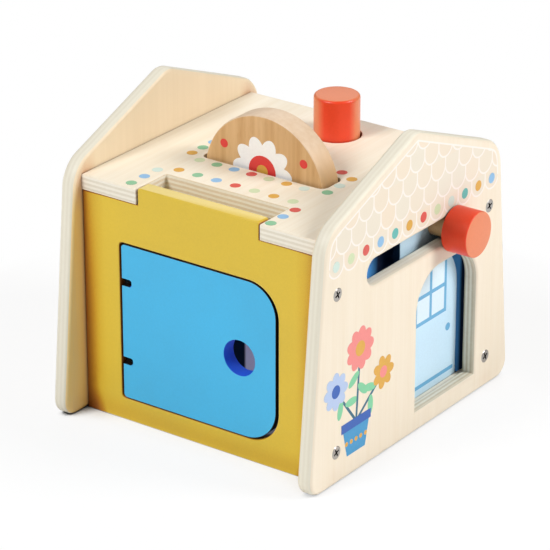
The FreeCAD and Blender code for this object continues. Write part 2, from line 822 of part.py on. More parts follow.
def push_rod():
    top = f"({BUTTON_FOOT} + push_rod_socket)"
    item = node(rod("push_rod", "push_rod_radius", f"{top} - {FOOT_UP}"), "push_rod")
    place(item, y="button_position", z=FOOT_UP)


def rocker():
    """Seesaw arm with round noses; it rests with the nose under the disc's stem down."""
    body = new_piece("rocker")
    arm = new_sketch(body, "YZ_Plane")
    draw_outline(arm, rectangle("-" + ARM, ARM, "-rocker_bar_height / 2", "rocker_bar_height / 2"))
    pad(body, arm, "rocker_width", symmetric=True)
    noses = (("-" + ARM, "rocker_nose_radius"), (ARM, "rocker_nose_radius"))
    for y, radius in (("0", "rocker_hub_radius"), *noses):
        round_part = new_sketch(body, "YZ_Plane")
        draw_circle(round_part, y, "0", radius)
        pad(body, round_part, "rocker_width", symmetric=True)
    bore = new_sketch(body, "YZ_Plane")
    draw_circle(bore, "0", "0", "(axle_radius + running_gap)")
    pocket(body, bore)
    turn(body, (1, 0, 0), 1)
    bind(body, Placement__Rotation__Angle=f"asin(pop_travel / 2 / {ARM})")
    place(body, y=PIVOT_Y, z="axle_height")


def rocker_brackets():
    """Two posts on the base that carry the axle."""
    near_side = "(rocker_width / 2 + bracket_gap)"
    for label, x in (("left_bracket", f"-{near_side} - inner_board"), ("right_bracket", near_side)):
        body = new_piece(label)
        outline = new_sketch(body, "YZ_Plane")
        draw_arch(outline, "0", "bracket_width", "0", "(axle_height - base_board)")
        pad(body, outline, "inner_board")
        bore = new_sketch(body, "YZ_Plane")
        draw_circle(bore, "0", "(axle_height - base_board)", "(axle_radius + fixed_gap)")
        pocket(body, bore)
        place(body, x, PIVOT_Y, "base_board")


def rocker_axle():
    half = "(rocker_width / 2 + bracket_gap + inner_board + axle_overhang)"
    item = node(rod("rocker_axle", "axle_radius", f"2 * {half}"), "rocker_axle")
    turn(item, (0, 1, 0), 90)
    place(item, "-" + half, PIVOT_Y, "axle_height")


def build():
    screw_holes = screws_and_holes()
    left_gable(screw_holes)
    right_gable(screw_holes)
    front_wall(screw_holes)
    back_wall(screw_holes)
    base()
    roof()
    partition()
    picture_board()
    upper_rail()
    shelf()
    shelf_battens()
    front_door()
    hinge()
    door_stop()
    shutter()
    slide_stem()
    slide_knob()
    pop_up_disc()
    disc_stem()
    push_button()
    button_collar()
    push_rod()
    rocker()
    rocker_brackets()
    rocker_axle()
    document.recompute()


def write_parts():
    for item in document.Objects:
        if "Invalid" in item.State or "Error" in item.State:
            raise RuntimeError(f"{item.Label} failed: {item.State}")
    os.makedirs("parts", exist_ok=True)
    for item in NODES:
        shape = item.Shape
        if shape.isNull() or not shape.isValid() or not shape.Solids:
            raise RuntimeError(f"{item.Label} has no valid solid")
        shape.exportStep(f"parts/{item.Label}.step")
        print(f"{item.Label}: {len(shape.Solids)} solid, {shape.Volume / 1000:.2f} cm3")


build()
write_parts()
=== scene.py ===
"""Looks of a wooden barn-shaped activity box: rounded boards, paint, prints, hardware and a plain studio.

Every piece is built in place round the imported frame. Lengths are in metres, unless multiplied by MM.
"""

import math
import bmesh
import bpy
from bpy.props import FloatProperty, FloatVectorProperty, PointerProperty
from mathutils import Matrix, Vector


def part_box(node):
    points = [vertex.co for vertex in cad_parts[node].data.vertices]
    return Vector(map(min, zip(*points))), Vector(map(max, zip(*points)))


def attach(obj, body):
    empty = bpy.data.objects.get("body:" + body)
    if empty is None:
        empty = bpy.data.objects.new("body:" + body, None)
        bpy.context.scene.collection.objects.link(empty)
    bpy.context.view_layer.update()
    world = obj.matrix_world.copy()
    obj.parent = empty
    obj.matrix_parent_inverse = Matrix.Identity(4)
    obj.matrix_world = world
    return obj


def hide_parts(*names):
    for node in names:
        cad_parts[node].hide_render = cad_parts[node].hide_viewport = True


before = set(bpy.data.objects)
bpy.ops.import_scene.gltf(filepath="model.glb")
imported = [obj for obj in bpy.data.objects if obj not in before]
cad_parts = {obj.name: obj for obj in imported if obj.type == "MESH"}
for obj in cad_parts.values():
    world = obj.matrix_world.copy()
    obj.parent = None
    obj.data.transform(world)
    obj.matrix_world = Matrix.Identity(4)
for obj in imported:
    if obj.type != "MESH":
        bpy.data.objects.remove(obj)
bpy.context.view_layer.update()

bl_info = {
    "name": "Pop Up Box Finish",
    "version": (1, 0, 0),
    "blender": (4, 5, 0),
    "location": "View3D > Sidebar > Pop Up Box",
    "description": "Dresses the boards, door, knobs, disc and hardware of a wooden pop up box",
    "category": "Object",
}

MM = 0.001

# Matrices from a board's own plane (u, v) and depth w to the frame: w runs along X, against Y or along Z.
PLANES = {
    "x": Matrix(((0, 0, 1, 0), (1, 0, 0, 0), (0, 1, 0, 0), (0, 0, 0, 1))),
    "y": Matrix(((1, 0, 0, 0), (0, 0, -1, 0), (0, 1, 0, 0), (0, 0, 0, 1))),
    "z": Matrix.Identity(4),
}

# Angles between two faces from which their edge is a board's rim, and from which it is shaded sharp.
RIM_ANGLE = 1.2
SMOOTH_ANGLE = math.radians(40)
TOLERANCE = 0.01 * MM

# Where a colour changes to another along an axis: (other colour, axis, start, end).
# Painted light and shade on the back wall's inner side: near black by the right gable, bright blue further
# in.
GROOVE_FADE = ("strip_blue", "x", 69.4 * MM, 67.6 * MM)
# Painted shadow: the picture board is near black towards the shutter and blue further from it.
PICTURE_FADE = ("strip_blue", "y", -5 * MM, -14 * MM)
# Painted shadow: the partition's left part is near black; its top turns to the dark cut tone.
PARTITION_FADES = (("night_blue", "x", -1.8 * MM, -3.2 * MM), ("cut_dark", "z", 84 * MM, 88 * MM))
# Painted light: the finger hole's bore turns lighter towards its bottom.
BORE_FADE = ("blue", "z", 40 * MM, 29 * MM)
# The disc's pale rim turns to the face's beech towards the roof, partly a painted warm reflection of the
# roof.
DISC_FADE = ("beech", "z", 152 * MM, 134 * MM)

# How strongly the streaks of the birch show where it is bare and through the print.
BIRCH_STREAK = 0.35
PRINT_STREAK = 0.2


# Sizes and colours that a user may change


def length(name, millimetres, description):
    return FloatProperty(name=name, description=description, default=millimetres * MM, min=0.0,
                         subtype="DISTANCE", unit="LENGTH", precision=4)


def linear(red, green, blue):
    """Scene colour of a display colour whose channels run from 0 to 255."""
    shares = [channel / 255 for channel in (red, green, blue)]
    return tuple(share / 12.92 if share <= 0.04045 else ((share + 0.055) / 1.055) ** 2.4 for share in shares)


def colour(name, red, green, blue, description):
    return FloatVectorProperty(name=name, description=description, subtype="COLOR", size=4, min=0.0, max=1.0,
                               default=(*linear(red, green, blue), 1.0))


class PopUpSizes(bpy.types.PropertyGroup):
    """Sizes of the finish: outlines of the boards with rounded rims, their openings and the prints."""

    foot_span: length("Foot span", 184.8, "Width of a gable on the floor")
    eaves_span: length("Eaves span", 158.8, "Width of a gable between its shoulders")
    eaves_height: length("Eaves height", 137.4, "Height of the shoulders")
    ridge_height: length("Ridge height", 168.2, "Height of the ridge before it is rounded")
    foot_round: length("Foot round", 9, "Radius of a gable's bottom corners")
    eaves_round: length("Eaves round", 18, "Radius of a gable's shoulders")
    ridge_round: length("Ridge round", 12, "Radius of the ridge")
    gable_rim: length("Gable rim", 2.2, "Rounding of a gable's rims")
    board_rim: length("Board rim", 0.7, "Rounding of the rims of roof, walls and door")
    tight_rim: length("Tight rim", 0.35, "Rounding of the rims of the door opening and the roof's openings")
    print_relief: length("Print relief", 0.12, "Thickness that the prints on a gable may take")
    slot_length: length("Slot length", 85.0, "Length of the knob slot")
    slot_height: length("Slot height", 13.8, "Height of the knob slot")
    slot_middle: length("Slot middle", 105.0, "Height of the knob slot's middle line")
    window_start: length("Window start", 3.0, "Distance of the window's front side from the box's middle")
    window_end: length("Window end", 58.85, "Distance of the window's back side from the box's middle")
    window_bottom: length("Window bottom", 11.5, "Height of the window's sill")
    window_top: length("Window top", 87.3, "Height of the window's arch")
    window_round: length("Window round", 20.5, "Radius of the flat arch's haunches")
    screw_low: length("Lower screws", 18, "Height of the lower gable screws")
    screw_high: length("Upper screws", 104.6, "Height of the upper gable screws")
    screw_offset: length("Screw offset", 69.25, "Distance of the screws from the middle of a gable")
    screw_head: length("Screw head", 3.5, "Radius of a screw head")
    tab_width: length("Tab width", 75.8, "Width of the front wall's tab")
    tab_round: length("Tab round", 1.5, "Radius of the tab's corners")
    tab_extra: length("Tab extra", 0.6, "Height of the tab's top over the solid's")
    tab_gap: length("Tab gap", 0.9, "Gap between the tab and the roof")
    notch_back: length("Notch back", 48.3, "Distance of the back of the posting notch from the middle")
    notch_corner: length("Notch corner", 1.5, "Radius of the posting notch's inner corners")
    disc_slot_round: length("Disc slot round", 4, "Radius of the disc slot's corners")
    disc_edge: length("Disc edge", 1.1, "Rounding of the disc's edges")
    knob_edge: length("Knob edge", 0.6, "Rounding of the knob's outer edge")
    button_edge: length("Button edge", 1.6, "Rounding of the button's upper edge")
    turned_edge: length("Turned edge", 0.5, "Rounding of the knob's and the button's other edge")
    disc_slot_front: length("Disc slot front", 19.2, "Distance of the disc slot's front from the middle")
    disc_slot_back: length("Disc slot back", 1.2, "Distance of the disc slot's back from the middle")
    disc_slot_length: length("Disc slot length", 77.6, "Length of the disc slot")
    button_hole: length("Button hole", 13.3, "Radius of the button's hole in the roof")
    opening_gap: length("Opening gap", 1.3, "Gap beside the door")
    free_edge_gap: length("Free edge gap", 1.6, "Gap beside the door's free edge")
    low_corner_extra: length("Low corner extra", 1.6, "Extra rounding of the door's lower free corner")
    opening_end_gap: length("Opening end gap", 0.7, "Gap above and below the door")
    opening_round: length("Opening round", 18.5, "Radius of the door opening's free corners")
    hinge_round: length("Hinge edge round", 2, "Radius of the corners beside the hinge")
    notch_length: length("Notch length", 6.2, "Depth of the door's hinge notches")
    notch_height: length("Notch height", 3.7, "Height of the door's hinge notches")
    notch_round: length("Notch round", 1.2, "Radius of the notches' inner corners")
    finger_hole: length("Finger hole", 9.7, "Radius of the finger hole")
    finger_hole_inset: length("Finger hole inset", 22.6, "Distance of the finger hole from the free edge")
    finger_hole_height: length("Finger hole height", 43, "Height of the finger hole above the door's foot")
    dot: length("Dot", 2.85, "Radius of the printed dots")
    dot_pitch: length("Dot pitch", 12.84, "Distance between the dots on a gable")
    dot_height: length("Dot height", 119.8, "Height of the row of dots on a gable")
    tile_row: length("Tile row", 10.8, "Height of one row of printed roof tiles")
    tile_bottom: length("Tile bottom", 113.7, "Height where the printed tiles start")
    tile_line: length("Tile line", 0.45, "Half width of the lines round the tiles")
    tile_margin: length("Tile margin", 4.6, "Distance of the printed tiles from a gable's edges")


class PopUpColours(bpy.types.PropertyGroup):
    """Colours of wood, paint, prints and metal, and of painted light and shade."""

    birch: colour("Birch", 245, 236, 217, "Pale face of the birch plywood")
    birch_streak: colour("Birch streak", 226, 204, 168, "Streaks in the birch")
    inner_birch: colour("Inner birch", 240, 220, 187, "Bare inner side of the gables")
    # Painted light: the walls' yellow thrown back onto the gables' inner side in front of them.
    painted_bounce_birch: colour("Amber birch", 255, 220, 142, "Inner side of the gables in front of the walls")
    sanded_pale: colour("Pale sanded ply", 231, 225, 207, "Long-grain sheets of the gables' outer edges")
    sanded_dark: colour("Dark sanded ply", 226, 219, 200, "End-grain sheets of the gables' outer edges")
    ply_pale: colour("Pale ply", 238, 231, 216, "Long-grain sheets of the other boards' edges")
    ply_dark: colour("Dark ply", 222, 213, 193, "End-grain sheets of the other boards' edges")
    # Painted light and shade: the sheets in the openings have tones of their own, the notch tones paler than
    # the other edges, and the window's and the slot's rounded rims are darker.
    cut_pale: colour("Pale cut", 240, 232, 213, "Long-grain sheets in the gable's openings")
    cut_dark: colour("Dark cut", 215, 200, 172, "End-grain sheets in the gable's openings")
    notch_pale: colour("Pale notch", 255, 249, 234, "Long-grain sheets in the roof's cut-outs")
    notch_dark: colour("Dark notch", 238, 222, 194, "End-grain sheets in the roof's cut-outs")
    cut_rim: colour("Cut rim", 200, 186, 160, "Rounded rim of the window")
    slot_rim: colour("Slot rim", 214, 200, 174, "Rounded rim of the knob slot")
    ground: colour("Print ground", 242, 229, 208, "Printed ground of the gables")
    tile: colour("Tile", 237, 220, 197, "Printed roof tiles")
    tile_other: colour("Other tile", 231, 223, 206, "Second tone of the printed roof tiles")
    tile_edge: colour("Tile edge", 248, 239, 230, "Lines round the printed tiles")
    beech: colour("Beech", 224, 183, 131, "Pale tone of the turned beech")
    beech_streak: colour("Beech streak", 202, 155, 100, "Dark tone of the turned beech")
    # The disc's rim is paler than its face, partly end grain and partly a painted highlight from above.
    beech_rim: colour("Beech rim", 231, 206, 178, "Pale tone of the disc's rim")
    beech_rim_streak: colour("Beech rim streak", 212, 178, 140, "Dark tone of the disc's rim")
    yellow: colour("Yellow paint", 219, 186, 52, "Front and back wall")
    blue: colour("Blue paint", 66, 181, 229, "Door")
    deep_blue: colour("Deep blue paint", 32, 96, 228, "Bore of the finger hole")
    pale_blue: colour("Pale blue paint", 204, 235, 254, "Shutter")
    line_blue: colour("Line blue", 106, 176, 219, "Lines printed on the shutter")
    pane: colour("Pane", 224, 243, 253, "Window panes printed on the shutter")
    strip_blue: colour("Strip blue", 90, 172, 246, "Bright end of the picture board and the groove")
    # Near black; on the back wall's inner side, the picture board and the partition it is painted shade.
    night_blue: colour("Night blue", 8, 22, 48, "Picture board, edges of the door and the shutter")
    lilac: colour("Lilac", 206, 198, 232, "Print on the partition")
    wire_black: colour("Wire black", 9, 9, 11, "Black finish of the hinge eyes and the pin")
    red: colour("Red paint", 238, 72, 40, "Knob and button")
    # Painted sheen: paler tones that the walls, the knob and the button turn to at a low angle.
    painted_sheen_yellow: colour("Glancing yellow", 236, 214, 132, "Walls seen at a low angle")
    painted_sheen_red: colour("Glancing red", 228, 130, 86, "Knob and button seen at a low angle")
    print_white: colour("White print", 250, 248, 246, "White print on the disc")
    print_red: colour("Red print", 225, 60, 55, "Red print on the disc")
    green_dot: colour("Green", 138, 194, 152, "Green dots")
    blue_dot: colour("Blue", 142, 188, 226, "Blue dots")
    cyan_dot: colour("Pale cyan", 208, 226, 216, "Pale cyan dots")
    ochre_dot: colour("Ochre", 222, 168, 70, "Ochre dots")
    red_dot: colour("Red", 218, 88, 78, "Red dots")
    teal_dot: colour("Teal", 98, 182, 176, "Teal dots")
    lime_dot: colour("Pale green", 208, 220, 178, "Pale green dots")
    coral: colour("Coral", 238, 140, 135, "Coral petals")
    lavender: colour("Lavender", 180, 198, 230, "Lavender petals")
    royal: colour("Royal blue", 50, 95, 178, "Rim of the flower pot")
    mid_blue: colour("Mid blue", 65, 150, 200, "Flower pot")
    leaf: colour("Leaf green", 130, 205, 160, "Leaves")
    stalk: colour("Stalk", 50, 105, 130, "Stalks")
    steel: colour("Steel", 178, 173, 168, "Screws")
    # Painted shade: the near black of the screws' cross recesses.
    recess_shade_steel: colour("Dark steel", 24, 23, 27, "Recesses of the screws")
    floor: colour("Floor", 250, 250, 250, "Studio floor")


def sizes():
    return bpy.context.scene.pop_up_sizes


def paint(name):
    """One of the colours as (red, green, blue, 1)."""
    return tuple(getattr(bpy.context.scene.pop_up_colours, name))


# Shader nodes


def set_inputs(tree, node, inputs):
    """Give each socket of a node, by name or number, its value or the output that feeds it."""
    for key, value in dict(inputs).items():
        if isinstance(value, bpy.types.NodeSocket):
            tree.links.new(value, node.inputs[key])
        else:
            node.inputs[key].default_value = value


def add_node(tree, kind, inputs=(), **settings):
    """New shader node with its own settings and, as set_inputs takes them, its inputs."""
    made = tree.nodes.new("ShaderNode" + kind)
    for name, value in settings.items():
        setattr(made, name, value)
    set_inputs(tree, made, inputs)
    return made


def calculate(tree, operation, *values):
    """Result of a Math node."""
    return add_node(tree, "Math", enumerate(values), operation=operation).outputs[0]


def plus(tree, first, second):
    return calculate(tree, "ADD", first, second)


def minus(tree, first, second):
    return calculate(tree, "SUBTRACT", first, second)


def times(tree, first, second):
    return calculate(tree, "MULTIPLY", first, second)


def magnitude(tree, value):
    return calculate(tree, "ABSOLUTE", value)


def coordinate(tree, place, axis):
    return add_node(tree, "SeparateXYZ", {0: place}).outputs["xyz".index(axis)]


def mix(tree, factor, first, second):
    return add_node(tree, "Mix", {0: factor, 6: first, 7: second}, data_type="RGBA").outputs[2]


def remap(tree, value, low, high, to_low=0.0, to_high=1.0):
    return add_node(tree, "MapRange", {0: value, 1: low, 2: high, 3: to_low, 4: to_high}).outputs[0]


def noise(tree, vector, spread, detail, distortion=0.0):
    """Noise with its own number of waves per metre along each axis."""
    scaled = add_node(tree, "VectorMath", {0: vector, 1: spread}, operation="MULTIPLY").outputs[0]
    inputs = {"Vector": scaled, "Scale": 1.0, "Detail": detail, "Distortion": distortion}
    return add_node(tree, "TexNoise", inputs).outputs[0]


def new_group(name, inputs, outputs):
    """Node group with sockets given as {name: kind}; returns its tree, its inputs and its output node."""
    tree = bpy.data.node_groups.new(name, "ShaderNodeTree")
    for in_out, sockets in (("INPUT", inputs), ("OUTPUT", outputs)):
        for label, kind in sockets.items():
            tree.interface.new_socket(label, in_out=in_out, socket_type="NodeSocket" + kind)
    return tree, tree.nodes.new("NodeGroupInput").outputs, tree.nodes.new("NodeGroupOutput")


def use_group(tree, name, inputs):
    return add_node(tree, "Group", inputs, node_tree=bpy.data.node_groups[name]).outputs


def build_wood_grain():
    """Long grain along the vector's third axis: broad streaks, fine fibres and, for beech, short flecks."""
    tree, given, result = new_group(
        "wood_grain",
        {"Vector": "Vector", "Pale": "Color", "Dark": "Color", "Streak": "Float", "Fleck": "Float"},
        {"Color": "Color", "Height": "Float"})
    broad = noise(tree, given["Vector"], (70, 70, 2.5), 4, 0.8)
    middle = noise(tree, given["Vector"], (330, 330, 7), 3)
    fine = noise(tree, given["Vector"], (1500, 1500, 40), 2)
    streak = remap(tree, plus(tree, times(tree, broad, 0.5), times(tree, middle, 0.5)), 0.38, 0.66)
    fleck = remap(tree, noise(tree, given["Vector"], (900, 900, 150), 1), 0.6, 0.72)
    amount = plus(tree, times(tree, streak, given["Streak"]), times(tree, fleck, given["Fleck"]))
    amount = plus(tree, amount, remap(tree, fine, 0.3, 0.7, -0.06, 0.06))
    set_inputs(tree, result, {"Color": mix(tree, amount, given["Pale"], given["Dark"]), "Height": fine})


def build_ply_edges():
    """Stripes of plywood seen from the edge; Face is 1 where the outermost sheet shows."""
    tree, given, result = new_group(
        "ply_edges",
        {"Vector": "Vector", "Depth": "Float", "Board": "Float", "Sheet": "Float", "Pale": "Color",
         "Dark": "Color"},
        {"Color": "Color", "Face": "Float"})
    wave = remap(tree, noise(tree, given["Vector"], (45, 45, 45), 2), 0.3, 0.7, -0.1, 0.1)
    place = plus(tree, calculate(tree, "DIVIDE", given["Depth"], given["Sheet"]), wave)
    stripe = remap(tree, calculate(tree, "PINGPONG", place, 1.0), 0.3, 0.7)
    fibre = remap(tree, noise(tree, given["Vector"], (500, 500, 500), 3), 0.35, 0.65, -0.14, 0.14)
    amount = plus(tree, stripe, fibre)
    nearest = calculate(tree, "MINIMUM", given["Depth"], minus(tree, given["Board"], given["Depth"]))
    face = remap(tree, calculate(tree, "DIVIDE", nearest, given["Sheet"]), 0.72, 0.62)
    set_inputs(tree, result, {"Color": mix(tree, amount, given["Pale"], given["Dark"]), "Face": face})


def build_paint_film():
    """Satin paint: faint clouds in its tone, uneven gloss and a fine speckle."""
    tree, given, result = new_group(
        "paint_film", {"Vector": "Vector", "Color": "Color", "Gloss": "Float"},
        {"Color": "Color", "Roughness": "Float", "Height": "Float"})
    cloud = noise(tree, given["Vector"], (22, 22, 22), 3)
    speck = noise(tree, given["Vector"], (900, 900, 900), 2)
    value = plus(tree, remap(tree, cloud, 0.3, 0.7, 0.965, 1.035), remap(tree, speck, 0.3, 0.7, -0.02, 0.02))
    toned = add_node(tree, "HueSaturation", {"Value": value, "Color": given["Color"]}).outputs[0]
    rough = plus(tree, given["Gloss"], remap(tree, cloud, 0.3, 0.7, -0.05, 0.05))
    set_inputs(tree, result, {"Color": toned, "Roughness": rough, "Height": speck})


def build_crease_shade():
    """Painted shade: a warmer, darker tone where surfaces meet, a dark line where they touch and near black
    deep in a slot.

    The warm corners are those outside the walls; low down, only those beside the gables are shaded.
    """
    tree, given, result = new_group(
        "crease_shade", {"Vector": "Vector", "Color": "Color", "Crease": "Float"}, {"Color": "Color"})
    wide = add_node(tree, "AmbientOcclusion", {"Distance": 14 * MM}, samples=8).outputs["AO"]
    close = add_node(tree, "AmbientOcclusion", {"Distance": 1.2 * MM}, samples=6).outputs["AO"]
    gable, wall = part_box("right_gable")[0].x, -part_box("front_wall")[1].y
    sideways = magnitude(tree, coordinate(tree, given["Vector"], "x"))
    by_gable = times(tree, remap(tree, sideways, gable - 14 * MM, gable - 6 * MM),
                     remap(tree, sideways, gable + 5 * MM, gable + MM))
    raised = remap(tree, coordinate(tree, given["Vector"], "z"), 0.0, 25 * MM)
    above_floor = calculate(tree, "MAXIMUM", raised, by_gable)
    endways = magnitude(tree, coordinate(tree, given["Vector"], "y"))
    beside_walls = remap(tree, endways, wall - 3 * MM, wall + 7 * MM)
    # Painted shade in corners: the tone is warmed and darkened where the wide occlusion closes in.
    corner = times(tree, remap(tree, wide, 0.92, 0.42), given["Crease"])
    corner = times(tree, corner, times(tree, above_floor, beside_walls))
    warmth = remap(tree, corner, 0.0, 1.0, 1.0, 2.9)
    warm = add_node(tree, "Gamma", {"Color": given["Color"], "Gamma": warmth}).outputs[0]
    warm = add_node(tree, "Mix", {0: remap(tree, corner, 0.0, 0.5), 6: warm, 7: (1.0, 0.74, 0.8, 1)},
                    data_type="RGBA", blend_type="MULTIPLY").outputs[2]
    tone = mix(tree, times(tree, corner, 0.4), warm, (0.0, 0.0, 0.0, 1))
    # Painted shade: a dark brown line where two surfaces touch.
    touch = times(tree, remap(tree, close, 0.8, 0.45, 0.0, 0.3), above_floor)
    tone = mix(tree, touch, tone, (0.12, 0.055, 0.02, 1))
    # Painted shade: near black deep in a slot.
    cavity = remap(tree, wide, 0.22, 0.06, 0.0, 0.96)
    set_inputs(tree, result, {"Color": mix(tree, cavity, tone, (0.0, 0.0, 0.0, 1))})


def build_roof_tiles():
    """Rows of round-ended roof tiles: Line marks outlines, Inside their area and Tone tells them apart."""
    tree, given, result = new_group(
        "roof_tiles",
        {"Across": "Float", "Up": "Float", "Pitch": "Float", "Row": "Float", "Line": "Float"},
        {"Line": "Float", "Inside": "Float", "Tone": "Float"})
    radius = times(tree, given["Pitch"], 0.5)
    band = calculate(tree, "FLOOR", calculate(tree, "DIVIDE", given["Up"], given["Row"]))
    rise = minus(tree, given["Up"], times(tree, band, given["Row"]))
    shift = calculate(tree, "MULTIPLY_ADD", calculate(tree, "PINGPONG", band, 1.0), 0.5, 0.5)
    column = plus(tree, calculate(tree, "DIVIDE", given["Across"], given["Pitch"]), shift)
    side = times(tree, minus(tree, calculate(tree, "FRACT", column), 0.5), given["Pitch"])
    drop = calculate(tree, "MAXIMUM", minus(tree, plus(tree, radius, given["Line"]), rise), 0.0)
    reach = calculate(tree, "SQRT", plus(tree, times(tree, side, side), times(tree, drop, drop)))
    gap = minus(tree, radius, reach)
    soft = times(tree, given["Line"], 1.25)
    line = remap(tree, magnitude(tree, gap), soft, times(tree, soft, 0.6))
    own = calculate(tree, "GREATER_THAN", gap, 0.0)
    cell = times(tree, own, calculate(tree, "FLOOR", column))
    lower = times(tree, minus(tree, 1.0, own), calculate(tree, "FLOOR", plus(tree, column, 0.5)))
    where = add_node(tree, "CombineXYZ", {0: plus(tree, cell, lower), 1: plus(tree, band, own)}).outputs[0]
    tone = add_node(tree, "TexWhiteNoise", {"Vector": where}, noise_dimensions="2D").outputs["Value"]
    first = calculate(tree, "LESS_THAN", band, 0.5)
    below = times(tree, first, calculate(tree, "LESS_THAN", gap, 0.0))
    started = calculate(tree, "GREATER_THAN", given["Up"], 0.0)
    inside = times(tree, started, minus(tree, 1.0, below))
    set_inputs(tree, result, {"Line": times(tree, line, started), "Inside": inside, "Tone": tone})


def build_metal_wear():
    """Fine scratches and dull patches of plated steel."""
    tree, given, result = new_group("metal_wear", {"Vector": "Vector", "Gloss": "Float"},
                                    {"Roughness": "Float", "Height": "Float"})
    patch = noise(tree, given["Vector"], (260, 260, 260), 3)
    scratch = noise(tree, given["Vector"], (300, 2600, 300), 2)
    rough = plus(tree, given["Gloss"], remap(tree, patch, 0.3, 0.7, -0.08, 0.12))
    set_inputs(tree, result, {"Roughness": rough, "Height": scratch})


def new_material(name):
    """Material with a bare Principled shader; returns its tree, the shader and the Object coordinates."""
    material = bpy.data.materials.new(name)
    material.use_nodes = True
    tree = material.node_tree
    tree.nodes.clear()
    shader = add_node(tree, "BsdfPrincipled")
    add_node(tree, "OutputMaterial", {"Surface": shader.outputs[0]})
    return tree, shader, add_node(tree, "TexCoord").outputs["Object"]


def relief(tree, height, distance):
    """Normal of a surface with fine relief of up to the given distance."""
    return add_node(tree, "Bump", {"Height": height, "Distance": distance}).outputs[0]


def creased(tree, place, tone, crease=1.0):
    """The tone with painted shade in its creases, or as it is where crease is None."""
    if crease is None:
        return tone
    return use_group(tree, "crease_shade", {"Vector": place, "Color": tone, "Crease": crease})["Color"]


def faded(tree, place, tone, fades):
    """The tone with each fade's other colour, from its start to its end along its axis."""
    for other, axis, start, end in fades:
        tone = mix(tree, remap(tree, coordinate(tree, place, axis), start, end), tone, paint(other))
    return tone


def painted(name, colour_name, gloss=0.5, coat=0.05, crease=1.0, fades=(), painted_sheen=None, sheen=0.5,
            glow=0.0):
    """Satin paint in one of the scene's colours.

    Each of fades gives another colour and where along which axis the paint changes to it. A colour given
    with how low an angle it shows at is a painted sheen; sheen is the specular level, crease the share of
    painted shade in the creases, and glow makes the paint shine by itself, a painted light that lifts it in
    the dark.
    """
    tree, shader, place = new_material(name)
    tone = faded(tree, place, paint(colour_name), fades)
    # Painted sheen: the paint turns to another colour at a low angle.
    if painted_sheen:
        other, start, end = painted_sheen
        turned_away = add_node(tree, "LayerWeight", {"Blend": 0.5}).outputs["Facing"]
        tone = mix(tree, remap(tree, turned_away, start, end), tone, paint(other))
    film = use_group(tree, "paint_film", {"Vector": place, "Color": tone, "Gloss": gloss})
    set_inputs(tree, shader, {
        "Base Color": creased(tree, place, film["Color"], crease), "Roughness": film["Roughness"],
        "Specular IOR Level": sheen, "Coat Weight": coat, "Coat Roughness": 0.3,
        "Normal": relief(tree, film["Height"], 0.02 * MM)})
    # Painted light: the paint shines by itself.
    if glow:
        set_inputs(tree, shader, {"Emission Color": film["Color"], "Emission Strength": glow})


def metal(name, colour_name, gloss):
    tree, shader, place = new_material(name)
    wear = use_group(tree, "metal_wear", {"Vector": place, "Gloss": gloss})
    set_inputs(tree, shader, {
        "Base Color": paint(colour_name), "Metallic": 1.0, "Roughness": wear["Roughness"],
        "Normal": relief(tree, wear["Height"], 0.01 * MM)})


def along(tree, place, grain):
    """The vector turned so that the grain, along the given axis, runs along the third axis."""
    turns = {"x": (0, math.pi / 2, 0), "y": (math.pi / 2, 0, 0), "z": (0, 0, 0)}
    return add_node(tree, "Mapping", {"Vector": place, "Rotation": turns[grain]}).outputs[0]


def solid_wood(name, pale, dark, grain, streak=0.8, fleck=0.0, fades=()):
    """Solid wood under a thin coat of clear varnish, with painted shade in its creases; fades are as those
    of paint.
    """
    tree, shader, place = new_material(name)
    wood = use_group(tree, "wood_grain", {
        "Vector": along(tree, place, grain), "Pale": faded(tree, place, paint(pale), fades),
        "Dark": paint(dark), "Streak": streak, "Fleck": fleck})
    set_inputs(tree, shader, {
        "Base Color": creased(tree, place, wood["Color"]), "Roughness": 0.5, "Coat Weight": 0.12,
        "Coat Roughness": 0.25, "Normal": relief(tree, wood["Height"], 0.03 * MM)})


def ply_stripes(tree, place, depth, board, sheets, tone):
    """Stripes of a board's edges in the pale and the dark shade of a tone."""
    return use_group(tree, "ply_edges", {
        "Vector": place, "Depth": depth, "Board": board, "Sheet": board / sheets,
        "Pale": paint(tone + "_pale"), "Dark": paint(tone + "_dark")})


def finish_ply(tree, shader, place, tone, height, crease):
    """Plywood in the given tone under a thin coat of clear varnish, with crease giving the share of painted
    shade in its corners.
    """
    set_inputs(tree, shader, {
        "Base Color": creased(tree, place, tone, crease), "Roughness": 0.52, "Coat Weight": 0.1,
        "Coat Roughness": 0.3, "Normal": relief(tree, height, 0.02 * MM)})


def plywood(name, node, axis, grain, sheets=7, cut=False, crease=1.0):
    """Birch plywood for one board, its sheets across the given axis and its face grain along another;
    cut-outs are paler, a painted light.
    """
    low, high = (corner["xyz".index(axis)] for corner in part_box(node))
    tree, shader, place = new_material(name)
    depth = minus(tree, coordinate(tree, place, axis), low)
    stripes = ply_stripes(tree, place, depth, high - low, sheets, "notch" if cut else "ply")
    wood = use_group(tree, "wood_grain", {"Vector": along(tree, place, grain), "Pale": paint("birch"),
                                          "Dark": paint("birch_streak"), "Streak": BIRCH_STREAK})
    if cut:
        finish_ply(tree, shader, place, stripes["Color"], wood["Height"], 0.0)
    else:
        tone = mix(tree, stripes["Face"], stripes["Color"], wood["Color"])
        finish_ply(tree, shader, place, tone, wood["Height"], crease)


def gable_stripes(tree, place, tone):
    """Depth of a point in either gable, the gables' thickness and the stripes of their edges."""
    inner, outer = (corner.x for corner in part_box("right_gable"))
    depth = minus(tree, magnitude(tree, coordinate(tree, place, "x")), inner)
    return depth, outer - inner, ply_stripes(tree, place, depth, outer - inner, 7, tone)


def distance_within(tree, side, up, start, end):
    """Distance of a point from the gable's edge through two (y, z) points, positive within."""
    edge = (Vector(end) - Vector(start)).normalized()
    normal = Vector((edge.y, -edge.x))
    reach = plus(tree, times(tree, side, normal.x), times(tree, up, normal.y))
    return minus(tree, normal.dot(Vector(start)), reach)


